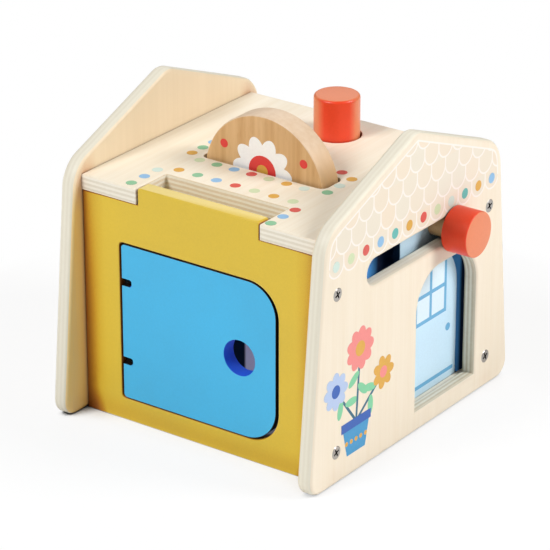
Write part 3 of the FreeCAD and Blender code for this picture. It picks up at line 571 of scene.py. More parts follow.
def printed_roof(tree, size, across, up, ground):
    """The printed ground with its band of roof tiles, which keeps a margin from the gable's edges."""
    side = magnitude(tree, across)
    foot, eaves = (size.foot_span / 2, 0), (size.eaves_span / 2, size.eaves_height)
    rim = calculate(tree, "SMOOTH_MIN", distance_within(tree, side, up, foot, eaves),
                    distance_within(tree, side, up, eaves, (0, size.ridge_height)), size.eaves_round / 2)
    rim = minus(tree, rim, size.tile_margin)
    in_margin = calculate(tree, "GREATER_THAN", rim, 0.0)
    border = remap(tree, magnitude(tree, rim), size.tile_line * 1.25, size.tile_line * 0.75)
    tiles = use_group(tree, "roof_tiles", {
        "Across": minus(tree, across, size.dot_pitch / 2), "Pitch": size.dot_pitch,
        "Up": minus(tree, up, size.tile_bottom), "Row": size.tile_row, "Line": size.tile_line})
    started = calculate(tree, "GREATER_THAN", up, size.tile_bottom + size.dot_pitch / 2)
    line = calculate(tree, "MAXIMUM", times(tree, tiles["Line"], in_margin), times(tree, border, started))
    tile = mix(tree, tiles["Tone"], paint("tile"), paint("tile_other"))
    share = times(tree, times(tree, tiles["Inside"], in_margin), 0.85)
    return mix(tree, line, mix(tree, share, ground, tile), paint("tile_edge"))


def gable_ply():
    """Both gables: bare wood inside, with the walls' yellow thrown back in front of them as painted light,
    and a printed ground outside.
    """
    tree, shader, place = new_material("gable_ply")
    depth, thickness, stripes = gable_stripes(tree, place, "sanded")
    across, up = coordinate(tree, place, "y"), coordinate(tree, place, "z")
    wall_front, wall_top = -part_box("front_wall")[0].y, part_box("back_wall")[1].z
    # Painted light: in front of the walls the bare wood takes the walls' yellow thrown back, and there its
    # creases get less painted shade.
    painted_bounce = times(tree, remap(tree, magnitude(tree, across), wall_front - 3.5 * MM, wall_front + 2.5 * MM),
                  remap(tree, up, wall_top + 6 * MM, wall_top - 12 * MM))
    grain = {"Vector": along(tree, place, "z"), "Dark": paint("birch_streak")}
    bare_tone = mix(tree, painted_bounce, paint("inner_birch"), paint("painted_bounce_birch"))
    bare = use_group(tree, "wood_grain", {**grain, "Pale": bare_tone, "Streak": BIRCH_STREAK})
    ground = use_group(tree, "wood_grain", {**grain, "Pale": paint("ground"), "Streak": PRINT_STREAK})
    printed = printed_roof(tree, sizes(), across, up, ground["Color"])
    outside = calculate(tree, "GREATER_THAN", depth, thickness / 2)
    face = mix(tree, outside, bare["Color"], printed)
    tone = mix(tree, stripes["Face"], stripes["Color"], face)
    finish_ply(tree, shader, place, tone, bare["Height"], remap(tree, painted_bounce, 0.0, 1.0, 0.45, 0.06))


def gable_cut():
    """Openings of the right gable: the slot paler than the window, a painted light, and both with a darker
    rim of their own tone, a painted shade.
    """
    size = sizes()
    tree, shader, place = new_material("gable_cut")
    depth, thickness, stripes = gable_stripes(tree, place, "cut")
    between = (size.window_top + size.slot_middle - size.slot_height / 2) / 2
    in_slot = remap(tree, coordinate(tree, place, "z"), between - MM, between + MM)
    # Painted light: the slot's sheets are mixed towards the pale notch tone.
    sheets = mix(tree, times(tree, in_slot, 0.6), stripes["Color"], paint("notch_pale"))
    # Painted shade: the rounded rims take darker tones of their own.
    painted_rim_shade = mix(tree, in_slot, paint("cut_rim"), paint("slot_rim"))
    rim = remap(tree, depth, thickness - size.gable_rim, thickness - size.gable_rim / 3)
    wood = use_group(tree, "wood_grain", {"Vector": along(tree, place, "z")})
    finish_ply(tree, shader, place, mix(tree, rim, sheets, painted_rim_shade), wood["Height"], 0.0)


def make_materials():
    for build in (build_wood_grain, build_ply_edges, build_paint_film, build_crease_shade, build_roof_tiles,
                  build_metal_wear, gable_ply, gable_cut):
        build()
    # The yellow here and the red below turn paler at a low angle, a painted sheen.
    painted("satin_yellow", "yellow", painted_sheen=("painted_sheen_yellow", 0.42, 0.6))
    painted("satin_night", "night_blue")
    # The back wall's inner side, the picture board and the partition carry painted shade, near black where
    # shade falls, and a glow that is painted light.
    painted("back_inside_painted_light_and_shade", "night_blue", crease=None, fades=[GROOVE_FADE], glow=0.12)
    painted("picture_print_with_painted_light_and_shade", "night_blue", crease=None, fades=[PICTURE_FADE], glow=0.1)
    painted("partition_print_with_painted_light_and_shade", "lilac", crease=None, fades=PARTITION_FADES, glow=0.25)
    painted("satin_blue", "blue", 0.55)
    # The bore's deep blue turns lighter towards its bottom, a painted light.
    painted("satin_deep_blue", "deep_blue", crease=None, fades=[BORE_FADE])
    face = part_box("shutter")[1].x
    shutter_fade = ("night_blue", "x", face - 0.2 * MM, face - 0.6 * MM)
    painted("satin_pale_blue", "pale_blue", 0.45, 0.1, 0.0, [shutter_fade])
    # The red's front carries the painted sheen; the knob's sides take the plain copy below it.
    painted("satin_red", "red", 0.35, 0.35, painted_sheen=("painted_sheen_red", 0.2, 0.45), sheen=0.25)
    painted("satin_red_side", "red", 0.35, 0.1, sheen=0.2)
    painted("black_wire", "wire_black", 0.7, 0.0, sheen=0.1)
    for name in ("line_blue", "pane", "print_white", "print_red", "green_dot", "blue_dot", "cyan_dot",
                 "ochre_dot", "red_dot", "teal_dot", "lime_dot", "coral", "lavender", "royal", "mid_blue",
                 "leaf", "stalk"):
        painted(name + "_ink", name, 0.55)
    metal("bright_steel", "steel", 0.35)
    metal("recess_shade_steel", "recess_shade_steel", 0.4)
    plywood("roof_ply", "roof", "z", "y", crease=0.1)
    # The roof's cut-outs take the paler notch tones, a painted light.
    plywood("roof_cut", "roof", "z", "y", cut=True)
    plywood("base_ply", "base", "z", "x")
    plywood("shelf_ply", "shelf", "z", "x", 5)
    plywood("left_bracket_ply", "left_bracket", "x", "z", 5)
    plywood("right_bracket_ply", "right_bracket", "x", "z", 5)
    solid_wood("beech_upright", "beech", "beech_streak", "z", 0.9, 0.2)
    solid_wood("beech_rim", "beech_rim", "beech_rim_streak", "z", 0.5, fades=[DISC_FADE])
    solid_wood("beech_across", "beech", "beech_streak", "x", 0.9, 0.35)
    solid_wood("pine_batten", "birch", "birch_streak", "y")


# Meshes


def add_piece(name, bm, body, materials, replaces=()):
    """Make a mesh an object that rides on a body of the frame and stands for the given nodes."""
    mesh = bpy.data.meshes.new(name)
    bm.to_mesh(mesh)
    bm.free()
    for material in materials:
        mesh.materials.append(bpy.data.materials[material])
    mesh.shade_smooth()
    mesh.set_sharp_from_angle(angle=SMOOTH_ANGLE)
    piece = bpy.data.objects.new(name, mesh)
    bpy.context.scene.collection.objects.link(piece)
    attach(piece, body)
    if replaces:
        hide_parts(*replaces)


def finish_node(name, material):
    """Give a node of the frame its material."""
    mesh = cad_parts[name].data
    mesh.materials.clear()
    mesh.materials.append(bpy.data.materials[material])


def new_verts(grown):
    """Vertices that an extrusion made."""
    return [item for item in grown["geom"] if isinstance(item, bmesh.types.BMVert)]


def edges_among(grown, verts):
    """Edges that an extrusion made between the given vertices."""
    return [item for item in grown["geom"] if isinstance(item, bmesh.types.BMEdge)
            and all(vert in verts for vert in item.verts)]


def bevel(bm, geom, offset, affect, segments):
    bmesh.ops.bevel(bm, geom=geom, offset=offset, offset_type="OFFSET", affect=affect, segments=segments,
                    profile=0.5, material=-1)


def spin_round(bm, steps):
    """Turn the whole mesh once round Z."""
    bmesh.ops.spin(bm, geom=bm.verts[:] + bm.edges[:], cent=(0, 0, 0), axis=(0, 0, 1), dvec=(0, 0, 0),
                   angle=2 * math.pi, steps=steps, use_merge=True, use_duplicate=False)


def on_plane(axis, level):
    """Matrix from a board's own plane to the frame, at a level of its axis."""
    return Matrix.Translation([level if name == axis else 0 for name in "xyz"]) @ PLANES[axis]


def arc_steps(radius):
    """Number of segments for a rounded corner of the given radius."""
    return max(3, round(radius / MM * 0.8))


def add_outline(bm, corners):
    """Flat face through (u, v, radius) corners, each rounded by its radius."""
    points = [Vector(corner[:2]) for corner in corners]
    verts = [bm.verts.new((*point, 0)) for point in points]
    bm.faces.new(verts)
    for index, (vert, corner) in enumerate(zip(verts, corners)):
        before = points[index - 1] - points[index]
        after = points[(index + 1) % len(points)] - points[index]
        radius = corner[2]
        if radius > 0:
            reach = radius / math.tan(before.angle(after) / 2)
            bevel(bm, [vert], reach, "VERTICES", arc_steps(radius))


def add_hole(bm, u, v, radius):
    bmesh.ops.create_circle(bm, cap_ends=True, radius=radius, segments=48,
                            matrix=Matrix.Translation((u, v, 0)))


def rectangle(left, right, bottom, top, radius=0):
    return [(left, bottom, radius), (right, bottom, radius), (right, top, radius), (left, top, radius)]


def box_round(corners):
    """Left, right, bottom and top of a list of (u, v, radius) corners."""
    us = [corner[0] for corner in corners]
    vs = [corner[1] for corner in corners]
    return min(us), max(us), min(vs), max(vs)


def within(point, boxes, margin):
    return any(left - margin <= point.x <= right + margin and bottom - margin <= point.y <= top + margin
               for left, right, bottom, top in boxes)


def board(axis, start, thickness, outline, rim, openings=(), holes=(), cut_rim=0.0, cuts=(), sharp_holes=(),
          steps=3, own_sides=False):
    """Closed board with rounded rims; what is cut in it, or every side, gets the second material.

    start is the coordinate of its low face, or of its high one where the depth runs against Y. cuts are the
    (left, right, bottom, top) boxes of cut-outs that are part of the outline.
    """
    cuts = [*cuts, *(box_round(corners) for corners in openings),
            *((u - radius, u + radius, v - radius, v + radius) for u, v, radius in holes)]
    bm = bmesh.new()
    for corners in (outline, *openings):
        add_outline(bm, corners)
    for hole in (*holes, *sharp_holes):
        add_hole(bm, *hole)
    bmesh.ops.remove_doubles(bm, verts=bm.verts, dist=0.005 * MM)
    bmesh.ops.delete(bm, geom=bm.faces[:], context="FACES_ONLY")
    bmesh.ops.triangle_fill(bm, use_beauty=True, use_dissolve=False, edges=bm.edges[:])
    bmesh.ops.dissolve_limit(bm, angle_limit=0.01, use_dissolve_boundaries=False, verts=bm.verts[:],
                             edges=bm.edges[:])
    grown = bmesh.ops.extrude_face_region(bm, geom=bm.faces[:])
    bmesh.ops.translate(bm, vec=(0, 0, thickness), verts=new_verts(grown))
    bmesh.ops.recalc_face_normals(bm, faces=bm.faces[:])
    flats = [face for face in bm.faces if abs(face.normal.z) > 0.9]
    bmesh.ops.inset_region(bm, faces=flats, thickness=rim * 1.05, use_even_offset=True, use_boundary=True)

    def middle(edge):
        return (edge.verts[0].co + edge.verts[1].co) / 2

    def at_sharp_hole(edge):
        return any((middle(edge).xy - Vector((u, v))).length < radius * 1.01 for u, v, radius in sharp_holes)

    def is_rim(edge):
        level = abs(edge.verts[0].co.z - edge.verts[1].co.z) < TOLERANCE
        return level and edge.is_manifold and edge.calc_face_angle() > RIM_ANGLE and not at_sharp_hole(edge)

    for face in bm.faces:
        cut = abs(face.normal.z) < 0.97 and within(face.calc_center_median(), cuts, rim)
        if cut or (own_sides and abs(face.normal.z) < 0.5):
            face.material_index = 1
    for offset, of_cut in ((rim, False), (cut_rim, True)):
        edges = [edge for edge in bm.edges
                 if is_rim(edge) and within(middle(edge), cuts, TOLERANCE) == of_cut]
        bevel(bm, edges, offset, "EDGES", steps)
    bmesh.ops.transform(bm, matrix=on_plane(axis, start), verts=bm.verts)
    return bm


def turned(profile, rounds, place, steps):
    """Closed solid turned round its own Z from (radius, height) points, the first and last on the axis."""
    bm = bmesh.new()
    verts = [bm.verts.new((radius, 0, height)) for radius, height in profile]
    for pair in zip(verts, verts[1:]):
        bm.edges.new(pair)
    for vert, radius in zip(verts, rounds):
        if radius > 0:
            bevel(bm, [vert], radius, "VERTICES", 6)
    spin_round(bm, steps)
    bmesh.ops.remove_doubles(bm, verts=bm.verts, dist=0.002 * MM)
    bmesh.ops.recalc_face_normals(bm, faces=bm.faces[:])
    bmesh.ops.transform(bm, matrix=place, verts=bm.verts)
    return bm


def turned_cap(radius, height, bore, socket, top_round, place):
    """Cylinder with a blind socket in its foot, as the knob and the button have it."""
    profile = [(0, socket), (bore, socket), (bore, 0), (radius, 0), (radius, height), (0, height)]
    return turned(profile, (0, 0, 0, sizes().turned_edge, top_round, 0), place, 72)


class Print:
    """Flat inks on one plane, each a thin raised patch that lies a little over the one before."""

    def __init__(self, axis, level, outward, inks):
        self.bm = bmesh.new()
        self.inks = inks
        self.height = 0.03 * MM
        self.place = on_plane(axis, level)
        if outward < 0:
            self.place = self.place @ Matrix.Scale(-1, 4, (0, 0, 1))

    def raise_face(self, face, ink):
        face.material_index = self.inks.index(ink)
        grown = bmesh.ops.extrude_face_region(self.bm, geom=[face])
        bmesh.ops.translate(self.bm, vec=(0, 0, self.height), verts=new_verts(grown))
        self.height += 0.002 * MM

    def spot(self, u, v, radius, ink, squash=1.0, turn=0.0):
        place = Matrix.Translation((u, v, 0)) @ Matrix.Rotation(turn, 4, "Z")
        made = bmesh.ops.create_circle(self.bm, cap_ends=True, radius=radius, segments=28,
                                       matrix=place @ Matrix.Diagonal((1, squash, 1, 1)))
        self.raise_face(made["verts"][0].link_faces[0], ink)

    def row(self, start, step, radius, inks):
        """Dots of one radius from a start in equal steps; each ink is named without its _dot."""
        for index, ink in enumerate(inks):
            self.spot(*(Vector(start) + index * Vector(step)), radius, ink + "_dot")

    def petals(self, centre, reach, radius, ink, squash, count):
        """A ring of flat petals round a centre."""
        for index in range(count):
            turn = 2 * math.pi * index / count
            place = centre + Vector((math.cos(turn), math.sin(turn))) * reach
            self.spot(*place, radius, ink, squash, turn)

    def patch(self, corners, ink):
        """Patch with straight sides; radii that the corners may hold are left out."""
        self.raise_face(self.bm.faces.new([self.bm.verts.new((*corner[:2], 0)) for corner in corners]), ink)

    def stroke(self, start, end, width, ink):
        start, end = Vector(start), Vector(end)
        side = (end - start).normalized().orthogonal() * width / 2
        self.patch([start - side, end - side, end + side, start + side], ink)

    def finish(self, name, body):
        bmesh.ops.transform(self.bm, matrix=self.place, verts=self.bm.verts)
        bmesh.ops.recalc_face_normals(self.bm, faces=self.bm.faces[:])
        add_piece(name, self.bm, body, [ink + "_ink" for ink in self.inks])


# Pieces


class POPUP_OT_materials(bpy.types.Operator):
    """Build the node groups and materials"""

    bl_idname = "popup.materials"
    bl_label = "Materials"

    def execute(self, context):
        make_materials()
        return {"FINISHED"}


class POPUP_OT_gables(bpy.types.Operator):
    """Build both gables with rounded rims, screw holes and, on the right, the knob slot and the window"""

    bl_idname = "popup.gables"
    bl_label = "Gables"

    def execute(self, context):
        size = sizes()
        half_foot, half_eaves = size.foot_span / 2, size.eaves_span / 2
        ridge = (0, size.ridge_height, size.ridge_round)
        outline = [(-half_foot, 0, size.foot_round), (half_foot, 0, size.foot_round),
                   (half_eaves, size.eaves_height, size.eaves_round), ridge,
                   (-half_eaves, size.eaves_height, size.eaves_round)]
        clearance = 0.05 * MM
        screws = [(side * size.screw_offset, height, size.screw_head + clearance)
                  for side in (-1, 1) for height in (size.screw_low, size.screw_high)]
        half_slot = size.slot_length / 2
        half_height = size.slot_height / 2
        nearly_half_round = half_height * 0.999
        slot = rectangle(-half_slot, half_slot, size.slot_middle - half_height,
                         size.slot_middle + half_height, nearly_half_round)
        window = [(size.window_start, size.window_bottom, 0), (size.window_end, size.window_bottom, 0),
                  (size.window_end, size.window_top, size.window_round),
                  (size.window_start, size.window_top, size.window_round)]
        for label, openings in (("left_gable", ()), ("right_gable", (slot, window))):
            low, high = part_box(label)
            start = low.x if label == "right_gable" else low.x + size.print_relief
            made = board("x", start, high.x - low.x - size.print_relief, outline, size.gable_rim, openings,
                         cut_rim=size.gable_rim, sharp_holes=screws, steps=5)
            add_piece(label + "_rounded", made, "house", ["gable_ply", "gable_cut"], [label])
        return {"FINISHED"}


class POPUP_OT_walls(bpy.types.Operator):
    """Build the painted front and back wall and the roof with its openings"""

    bl_idname = "popup.walls"
    bl_label = "Walls and roof"

    def execute(self, context):
        size = sizes()
        self.build_front_wall(size)
        self.build_back_wall(size)
        self.build_roof(size)
        return {"FINISHED"}

    def build_front_wall(self, size):
        """Wall with the door's opening and a tab that stands in the roof's notch."""
        low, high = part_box("front_wall")
        half_tab, tab_top = size.tab_width / 2, high.z + size.tab_extra
        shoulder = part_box("back_wall")[1].z
        outline = [(low.x, 0, 0), (high.x, 0, 0), (high.x, shoulder, 0), (half_tab, shoulder, 0),
                   (half_tab, tab_top, size.tab_round), (-half_tab, tab_top, size.tab_round),
                   (-half_tab, shoulder, 0), (low.x, shoulder, 0)]
        door_low, door_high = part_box("front_door")
        left, right = door_low.x - size.opening_gap, door_high.x + size.free_edge_gap
        bottom, top = door_low.z - size.opening_end_gap, door_high.z + size.opening_end_gap
        opening = [(left, bottom, size.hinge_round), (right, bottom, size.opening_round),
                   (right, top, size.opening_round), (left, top, size.hinge_round)]
        made = board("y", high.y, high.y - low.y, outline, size.board_rim, [opening],
                     cut_rim=size.board_rim)
        add_piece("front_wall_rounded", made, "house", ["satin_yellow"] * 2, ["front_wall"])

    def build_back_wall(self, size):
        """Plain wall; its inner side carries painted light and shade, near black by the right gable and
        bright blue further in.
        """
        low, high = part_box("back_wall")
        made = board("y", high.y, high.y - low.y, rectangle(low.x, high.x, low.z, high.z), size.board_rim)
        for face in made.faces:
            inner_side = face.normal.y < -0.9
            face.material_index = 1 if inner_side else 0
        add_piece("back_wall_rounded", made, "house", ["satin_yellow", "back_inside_painted_light_and_shade"],
                  ["back_wall"])

    def build_roof(self, size):
        """Roof with the posting notch, the disc's slot and the button's hole."""
        low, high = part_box("roof")
        half_notch = size.tab_width / 2 + size.tab_gap
        outline = [(low.x, low.y, 0), (-half_notch, low.y, 0),
                   (-half_notch, -size.notch_back, size.notch_corner),
                   (half_notch, -size.notch_back, size.notch_corner), (half_notch, low.y, 0),
                   (high.x, low.y, 0), (high.x, high.y, 0), (low.x, high.y, 0)]
        half_slot = size.disc_slot_length / 2
        slot = rectangle(-half_slot, half_slot, -size.disc_slot_front, -size.disc_slot_back,
                         size.disc_slot_round)
        button_low, button_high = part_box("push_button")
        hole = (0, (button_low.y + button_high.y) / 2, size.button_hole)
        notch = (-half_notch, half_notch, low.y + size.board_rim, -size.notch_back)
        made = board("z", low.z, high.z - low.z, outline, size.board_rim, [slot], [hole],
                     cut_rim=size.tight_rim, cuts=[notch])
        add_piece("roof_rounded", made, "house", ["roof_ply", "roof_cut"], ["roof"])


class POPUP_OT_door(bpy.types.Operator):
    """Build the door with its finger hole and hinge notches"""

    bl_idname = "popup.door"
    bl_label = "Door"

    def execute(self, context):
        size = sizes()
        low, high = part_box("front_door")
        free_round = size.opening_round - size.opening_gap
        notch_end = low.x + size.notch_length
        outline = [(low.x, low.z, size.hinge_round), (high.x, low.z, free_round + size.low_corner_extra),
                   (high.x, high.z, free_round), (low.x, high.z, size.hinge_round)]
        for node in ("upper_hinge_eye", "lower_hinge_eye"):
            eye_low, eye_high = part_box(node)
            middle = (eye_low.z + eye_high.z) / 2
            top, bottom = middle + size.notch_height / 2, middle - size.notch_height / 2
            outline += [(low.x, top, 0), (notch_end, top, size.notch_round),
                        (notch_end, bottom, size.notch_round), (low.x, bottom, 0)]
        # The bore and the notches' inner ends take the deep blue, which turns lighter towards the bottom, a
        # painted light.
        shaded_from, shaded_to = notch_end - 1.6 * MM, notch_end + 0.5 * MM
        hole = (high.x - size.finger_hole_inset, low.z + size.finger_hole_height, size.finger_hole)
        made = board("y", high.y, high.y - low.y, outline, size.tight_rim, holes=[hole],
                     cut_rim=size.tight_rim, own_sides=True)
        for face in made.faces:
            centre = face.calc_center_median()
            in_hole = math.dist((centre.x, centre.z), hole[:2]) < 1.05 * size.finger_hole
            in_notch = shaded_from < centre.x < shaded_to
            if face.material_index and (in_hole or in_notch):
                face.material_index = 2
        add_piece("front_door_rounded", made, "door",
                  ["satin_blue", "satin_night", "satin_deep_blue"], ["front_door"])
        return {"FINISHED"}


class POPUP_OT_hinge(bpy.types.Operator):
    """Build the round wire eyes of the hinge and finish its pin"""

    bl_idname = "popup.hinge"
    bl_label = "Hinge"

    def execute(self, context):
        pin_low, pin_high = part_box("hinge_pin")
        axis_x, axis_y = (pin_low.x + pin_high.x) / 2, (pin_low.y + pin_high.y) / 2
        for node in ("lower_hinge_eye", "upper_hinge_eye"):
            low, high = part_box(node)
            middle, wire = (low.z + high.z) / 2, (high.z - low.z) / 2
            ring = high.x - axis_x - wire
            bm = bmesh.new()
            at_ring = Matrix.Translation((ring, 0, 0)) @ Matrix.Rotation(math.pi / 2, 4, "X")
            bmesh.ops.create_circle(bm, cap_ends=False, radius=wire, segments=14, matrix=at_ring)
            spin_round(bm, 32)
            shank, thin = -ring - (low.x - axis_x), wire * 0.8
            at_shank = Matrix.Translation((-ring - shank / 2, 0, 0)) @ Matrix.Rotation(math.pi / 2, 4, "Y")
            bmesh.ops.create_cone(bm, cap_ends=True, cap_tris=False, segments=14, radius1=thin, radius2=thin,
                                  depth=shank, matrix=at_shank)
            bmesh.ops.recalc_face_normals(bm, faces=bm.faces[:])
            bmesh.ops.translate(bm, vec=(axis_x, axis_y, middle), verts=bm.verts)
            add_piece(node + "_wire", bm, "house", ["black_wire"], [node])
        finish_node("hinge_pin", "black_wire")
        return {"FINISHED"}


class POPUP_OT_screws(bpy.types.Operator):
    """Build the flat-headed screws with their cross recesses"""

    bl_idname = "popup.screws"
    bl_label = "Screws"

    def execute(self, context):
        size = sizes()
        for node, outward in (("left_screws", -1), ("right_screws", 1)):
            low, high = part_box(node)
            face = high.x if outward > 0 else low.x
            turn = Matrix.Rotation(math.pi / 2 * outward, 4, "Y")
            bm = bmesh.new()
            for side in (-1, 1):
                for height in (size.screw_low, size.screw_high):
                    place = Matrix.Translation((face, side * size.screw_offset, height))
                    self.add_screw(bm, place @ turn, high.x - low.x)
            add_piece(node + "_turned", bm, "house", ["bright_steel", "recess_shade_steel"], [node])
        return {"FINISHED"}

    def add_screw(self, bm, place, reach):
        """One screw that runs down its own Z, with its head at Z = 0 and a tapered cross for its recess."""
        head = sizes().screw_head
        shank, flat = head / 2, head * 0.93
        arm, blade, depth = head * 0.62, head * 0.14, head * 0.45
        taper, edge_drop, cone = 0.55, 0.25 * MM, 2 * MM
        made = bmesh.new()
        bmesh.ops.create_circle(made, cap_ends=False, radius=flat, segments=32)
        verts = [made.verts.new(Matrix.Rotation(quarter * math.pi / 2, 3, "Z") @ Vector((u, v, 0)))
                 for quarter in range(4) for u, v in ((blade, blade), (blade, arm), (-blade, arm))]
        walls = [made.edges.new(pair) for pair in zip(verts, verts[1:] + verts[:1])]
        bmesh.ops.triangle_fill(made, use_beauty=True, use_dissolve=False, edges=made.edges[:])
        grown = bmesh.ops.extrude_edge_only(made, edges=walls)
        sunk = new_verts(grown)
        bmesh.ops.scale(made, vec=(taper, taper, 1), verts=sunk)
        bmesh.ops.translate(made, vec=(0, 0, -depth), verts=sunk)
        bmesh.ops.contextual_create(made, geom=edges_among(grown, sunk))
        # Painted shade: the cross recess takes the near-black steel.
        for face in made.faces:
            in_recess = face.calc_center_median().z < -TOLERANCE
            face.material_index = 1 if in_recess else 0
        rim = [edge for edge in made.edges if edge.is_boundary]
        for radius, drop in ((head, edge_drop), (shank, cone), (shank, reach - cone), (shank * 0.2, reach)):
            grown = bmesh.ops.extrude_edge_only(made, edges=rim)
            moved = new_verts(grown)
            rim = edges_among(grown, moved)
            for vert in moved:
                vert.co = Vector((*(vert.co.xy.normalized() * radius), -drop))
        bmesh.ops.contextual_create(made, geom=rim)
        bmesh.ops.recalc_face_normals(made, faces=made.faces[:])
        skew = Matrix.Rotation(math.radians(25), 4, "Z")
        bmesh.ops.transform(made, matrix=place @ skew, verts=made.verts)
        mesh = bpy.data.meshes.new("screw")
        made.to_mesh(mesh)
        made.free()
        bm.from_mesh(mesh)
        bpy.data.meshes.remove(mesh)


class POPUP_OT_shutter(bpy.types.Operator):
    """Finish the shutter and its stem and print a plain window on the shutter"""

    bl_idname = "popup.shutter"
    bl_label = "Shutter"

    def execute(self, context):
        finish_node("shutter", "satin_pale_blue")
        finish_node("slide_stem", "beech_across")
        self.print_window()
        return {"FINISHED"}

    def print_window(self):
        """Window of four panes above a skirting line, with a dot beside it."""
        low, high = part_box("shutter")
        art = Print("x", high.x, 1, ["line_blue", "pane"])
        line = 2.2 * MM
        middle, width, sill, top = 32 * MM, 30 * MM, 50 * MM, 82 * MM
        left, right = middle - width / 2, middle + width / 2
        art.patch(rectangle(left, right, sill, top), "line_blue")
        pane, tall = (width - 3 * line) / 2, (top - sill - 3 * line) / 2
        for column in (left + line, middle + line / 2):
            for row in (sill + line, (sill + top + line) / 2):
                art.patch(rectangle(column, column + pane, row, row + tall), "pane")
        skirting = 15 * MM
        art.stroke((low.y + line, skirting), (high.y - line, skirting), line, "line_blue")
        art.spot(49 * MM, 40 * MM, line, "line_blue")
        art.finish("shutter_print", "shutter")


class POPUP_OT_knobs(bpy.types.Operator):
    """Turn the knob of the shutter and the push button"""

    bl_idname = "popup.knobs"
    bl_label = "Knob and button"

    def execute(self, context):
        size = sizes()
        self.build_knob(size)
        self.build_button(size)
        finish_node("button_collar", "beech_upright")
        finish_node("push_rod", "beech_upright")
        return {"FINISHED"}

    def build_knob(self, size):
        """Knob on the end of its stem; its front is glossier and carries the red's painted sheen, its sides
        take the plain red.
        """
        low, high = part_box("slide_knob")
        stem_low, stem_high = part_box("slide_stem")
        centre = (low + high) / 2
        place = Matrix.Translation((low.x, centre.y, centre.z)) @ Matrix.Rotation(math.pi / 2, 4, "Y")
        made = turned_cap((high.y - low.y) / 2, high.x - low.x, (stem_high.y - stem_low.y) / 2,
                          stem_high.x - low.x, size.knob_edge, place)
        for face in made.faces:
            on_front = face.normal.x > 0.5
            face.material_index = 0 if on_front else 1
        add_piece("slide_knob_turned", made, "shutter", ["satin_red", "satin_red_side"],
                  ["slide_knob"])

    def build_button(self, size):
        """Button on the end of its rod."""
        low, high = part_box("push_button")
        rod_low, rod_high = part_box("push_rod")
        place = Matrix.Translation((0, (low.y + high.y) / 2, low.z))
        made = turned_cap((high.x - low.x) / 2, high.z - low.z, (rod_high.x - rod_low.x) / 2,
                          rod_high.z - low.z, size.button_edge, place)
        add_piece("push_button_turned", made, "button", ["satin_red"], ["push_button"])


class POPUP_OT_disc(bpy.types.Operator):
    """Turn the pop-up disc and print a daisy on its front"""

    bl_idname = "popup.disc"
    bl_label = "Pop-up disc"

    def execute(self, context):
        low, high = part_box("pop_up_disc")
        centre = (low + high) / 2
        self.build_disc(low, high, centre)
        self.print_daisy(low.y, Vector((-0.8 * MM, centre.z + 7.5 * MM)))
        finish_node("disc_stem", "beech_upright")
        return {"FINISHED"}

    def build_disc(self, low, high, centre):
        edge = sizes().disc_edge
        radius, thick = (high.x - low.x) / 2, high.y - low.y
        place = Matrix.Translation((centre.x, low.y, centre.z)) @ Matrix.Rotation(-math.pi / 2, 4, "X")
        made = turned([(0, 0), (radius, 0), (radius, thick), (0, thick)], (0, edge, edge, 0), place, 96)
        # The rim takes the paler beech, partly end grain and partly a painted highlight, which turns to the
        # face's beech towards the roof.
        for face in made.faces:
            on_rim = abs(face.normal.y) < 0.85
            face.material_index = 1 if on_rim else 0
        add_piece("pop_up_disc_turned", made, "disc", ["beech_upright", "beech_rim"],
                  ["pop_up_disc"])

    def print_daisy(self, level, daisy):
        """White daisy round a red middle, with two red dots on each side."""
        art = Print("y", level, 1, ["print_white", "print_red", "ochre_dot"])
        art.petals(daisy, 11 * MM, 7.6 * MM, "print_white", 0.62, 10)
        art.spot(*daisy, 8.5 * MM, "print_red")
        art.spot(*daisy, 3.5 * MM, "ochre_dot")
        for side in (-1, 1):
            for height in (10 * MM, -6 * MM):
                art.spot(side * 25 * MM, daisy.y + height, 2.4 * MM, "print_red")
        art.finish("disc_print", "disc")


class POPUP_OT_roof_dots(bpy.types.Operator):
    """Print the coloured dots round the openings of the roof"""

    bl_idname = "popup.roof_dots"
    bl_label = "Roof dots"

    def execute(self, context):
        radius = sizes().dot
        art = Print("z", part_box("roof")[1].z, 1,
                    ["ochre_dot", "green_dot", "blue_dot", "red_dot", "lime_dot", "cyan_dot"])
        # Rows along X as (y, first x, pitch, inks), in millimetres.
        for y, first, pitch, inks in (
            (-40.6, -36.6, 11.95, ("ochre", "green", "blue", "red", "lime", "ochre", "lime")),
            (-23.6, -36.1, 11.0, ("lime", "green", "blue", "red", "lime", "ochre", "cyan")),
            (5.3, -33.0, 11.0, ("lime", "cyan", "ochre", "blue", "green", "cyan", "red")),
        ):
            art.row((first * MM, y * MM), (pitch * MM, 0), radius, inks)
        # Columns along Y as (x, first y, pitch, inks), in millimetres.
        for x, first, pitch, inks in (
            (-45.6, -68.5, 10.8, ("green", "blue", "cyan")),
            (42.3, -69.5, 10.3, ("green", "blue", "red")),
            (-45.4, -17.9, 9.2, ("ochre", "green", "blue")),
            (42.3, -21.0, 10.8, ("green", "cyan", "ochre")),
        ):
            art.row((x * MM, first * MM), (0, pitch * MM), radius, inks)
        art.finish("roof_dots", "house")
        return {"FINISHED"}


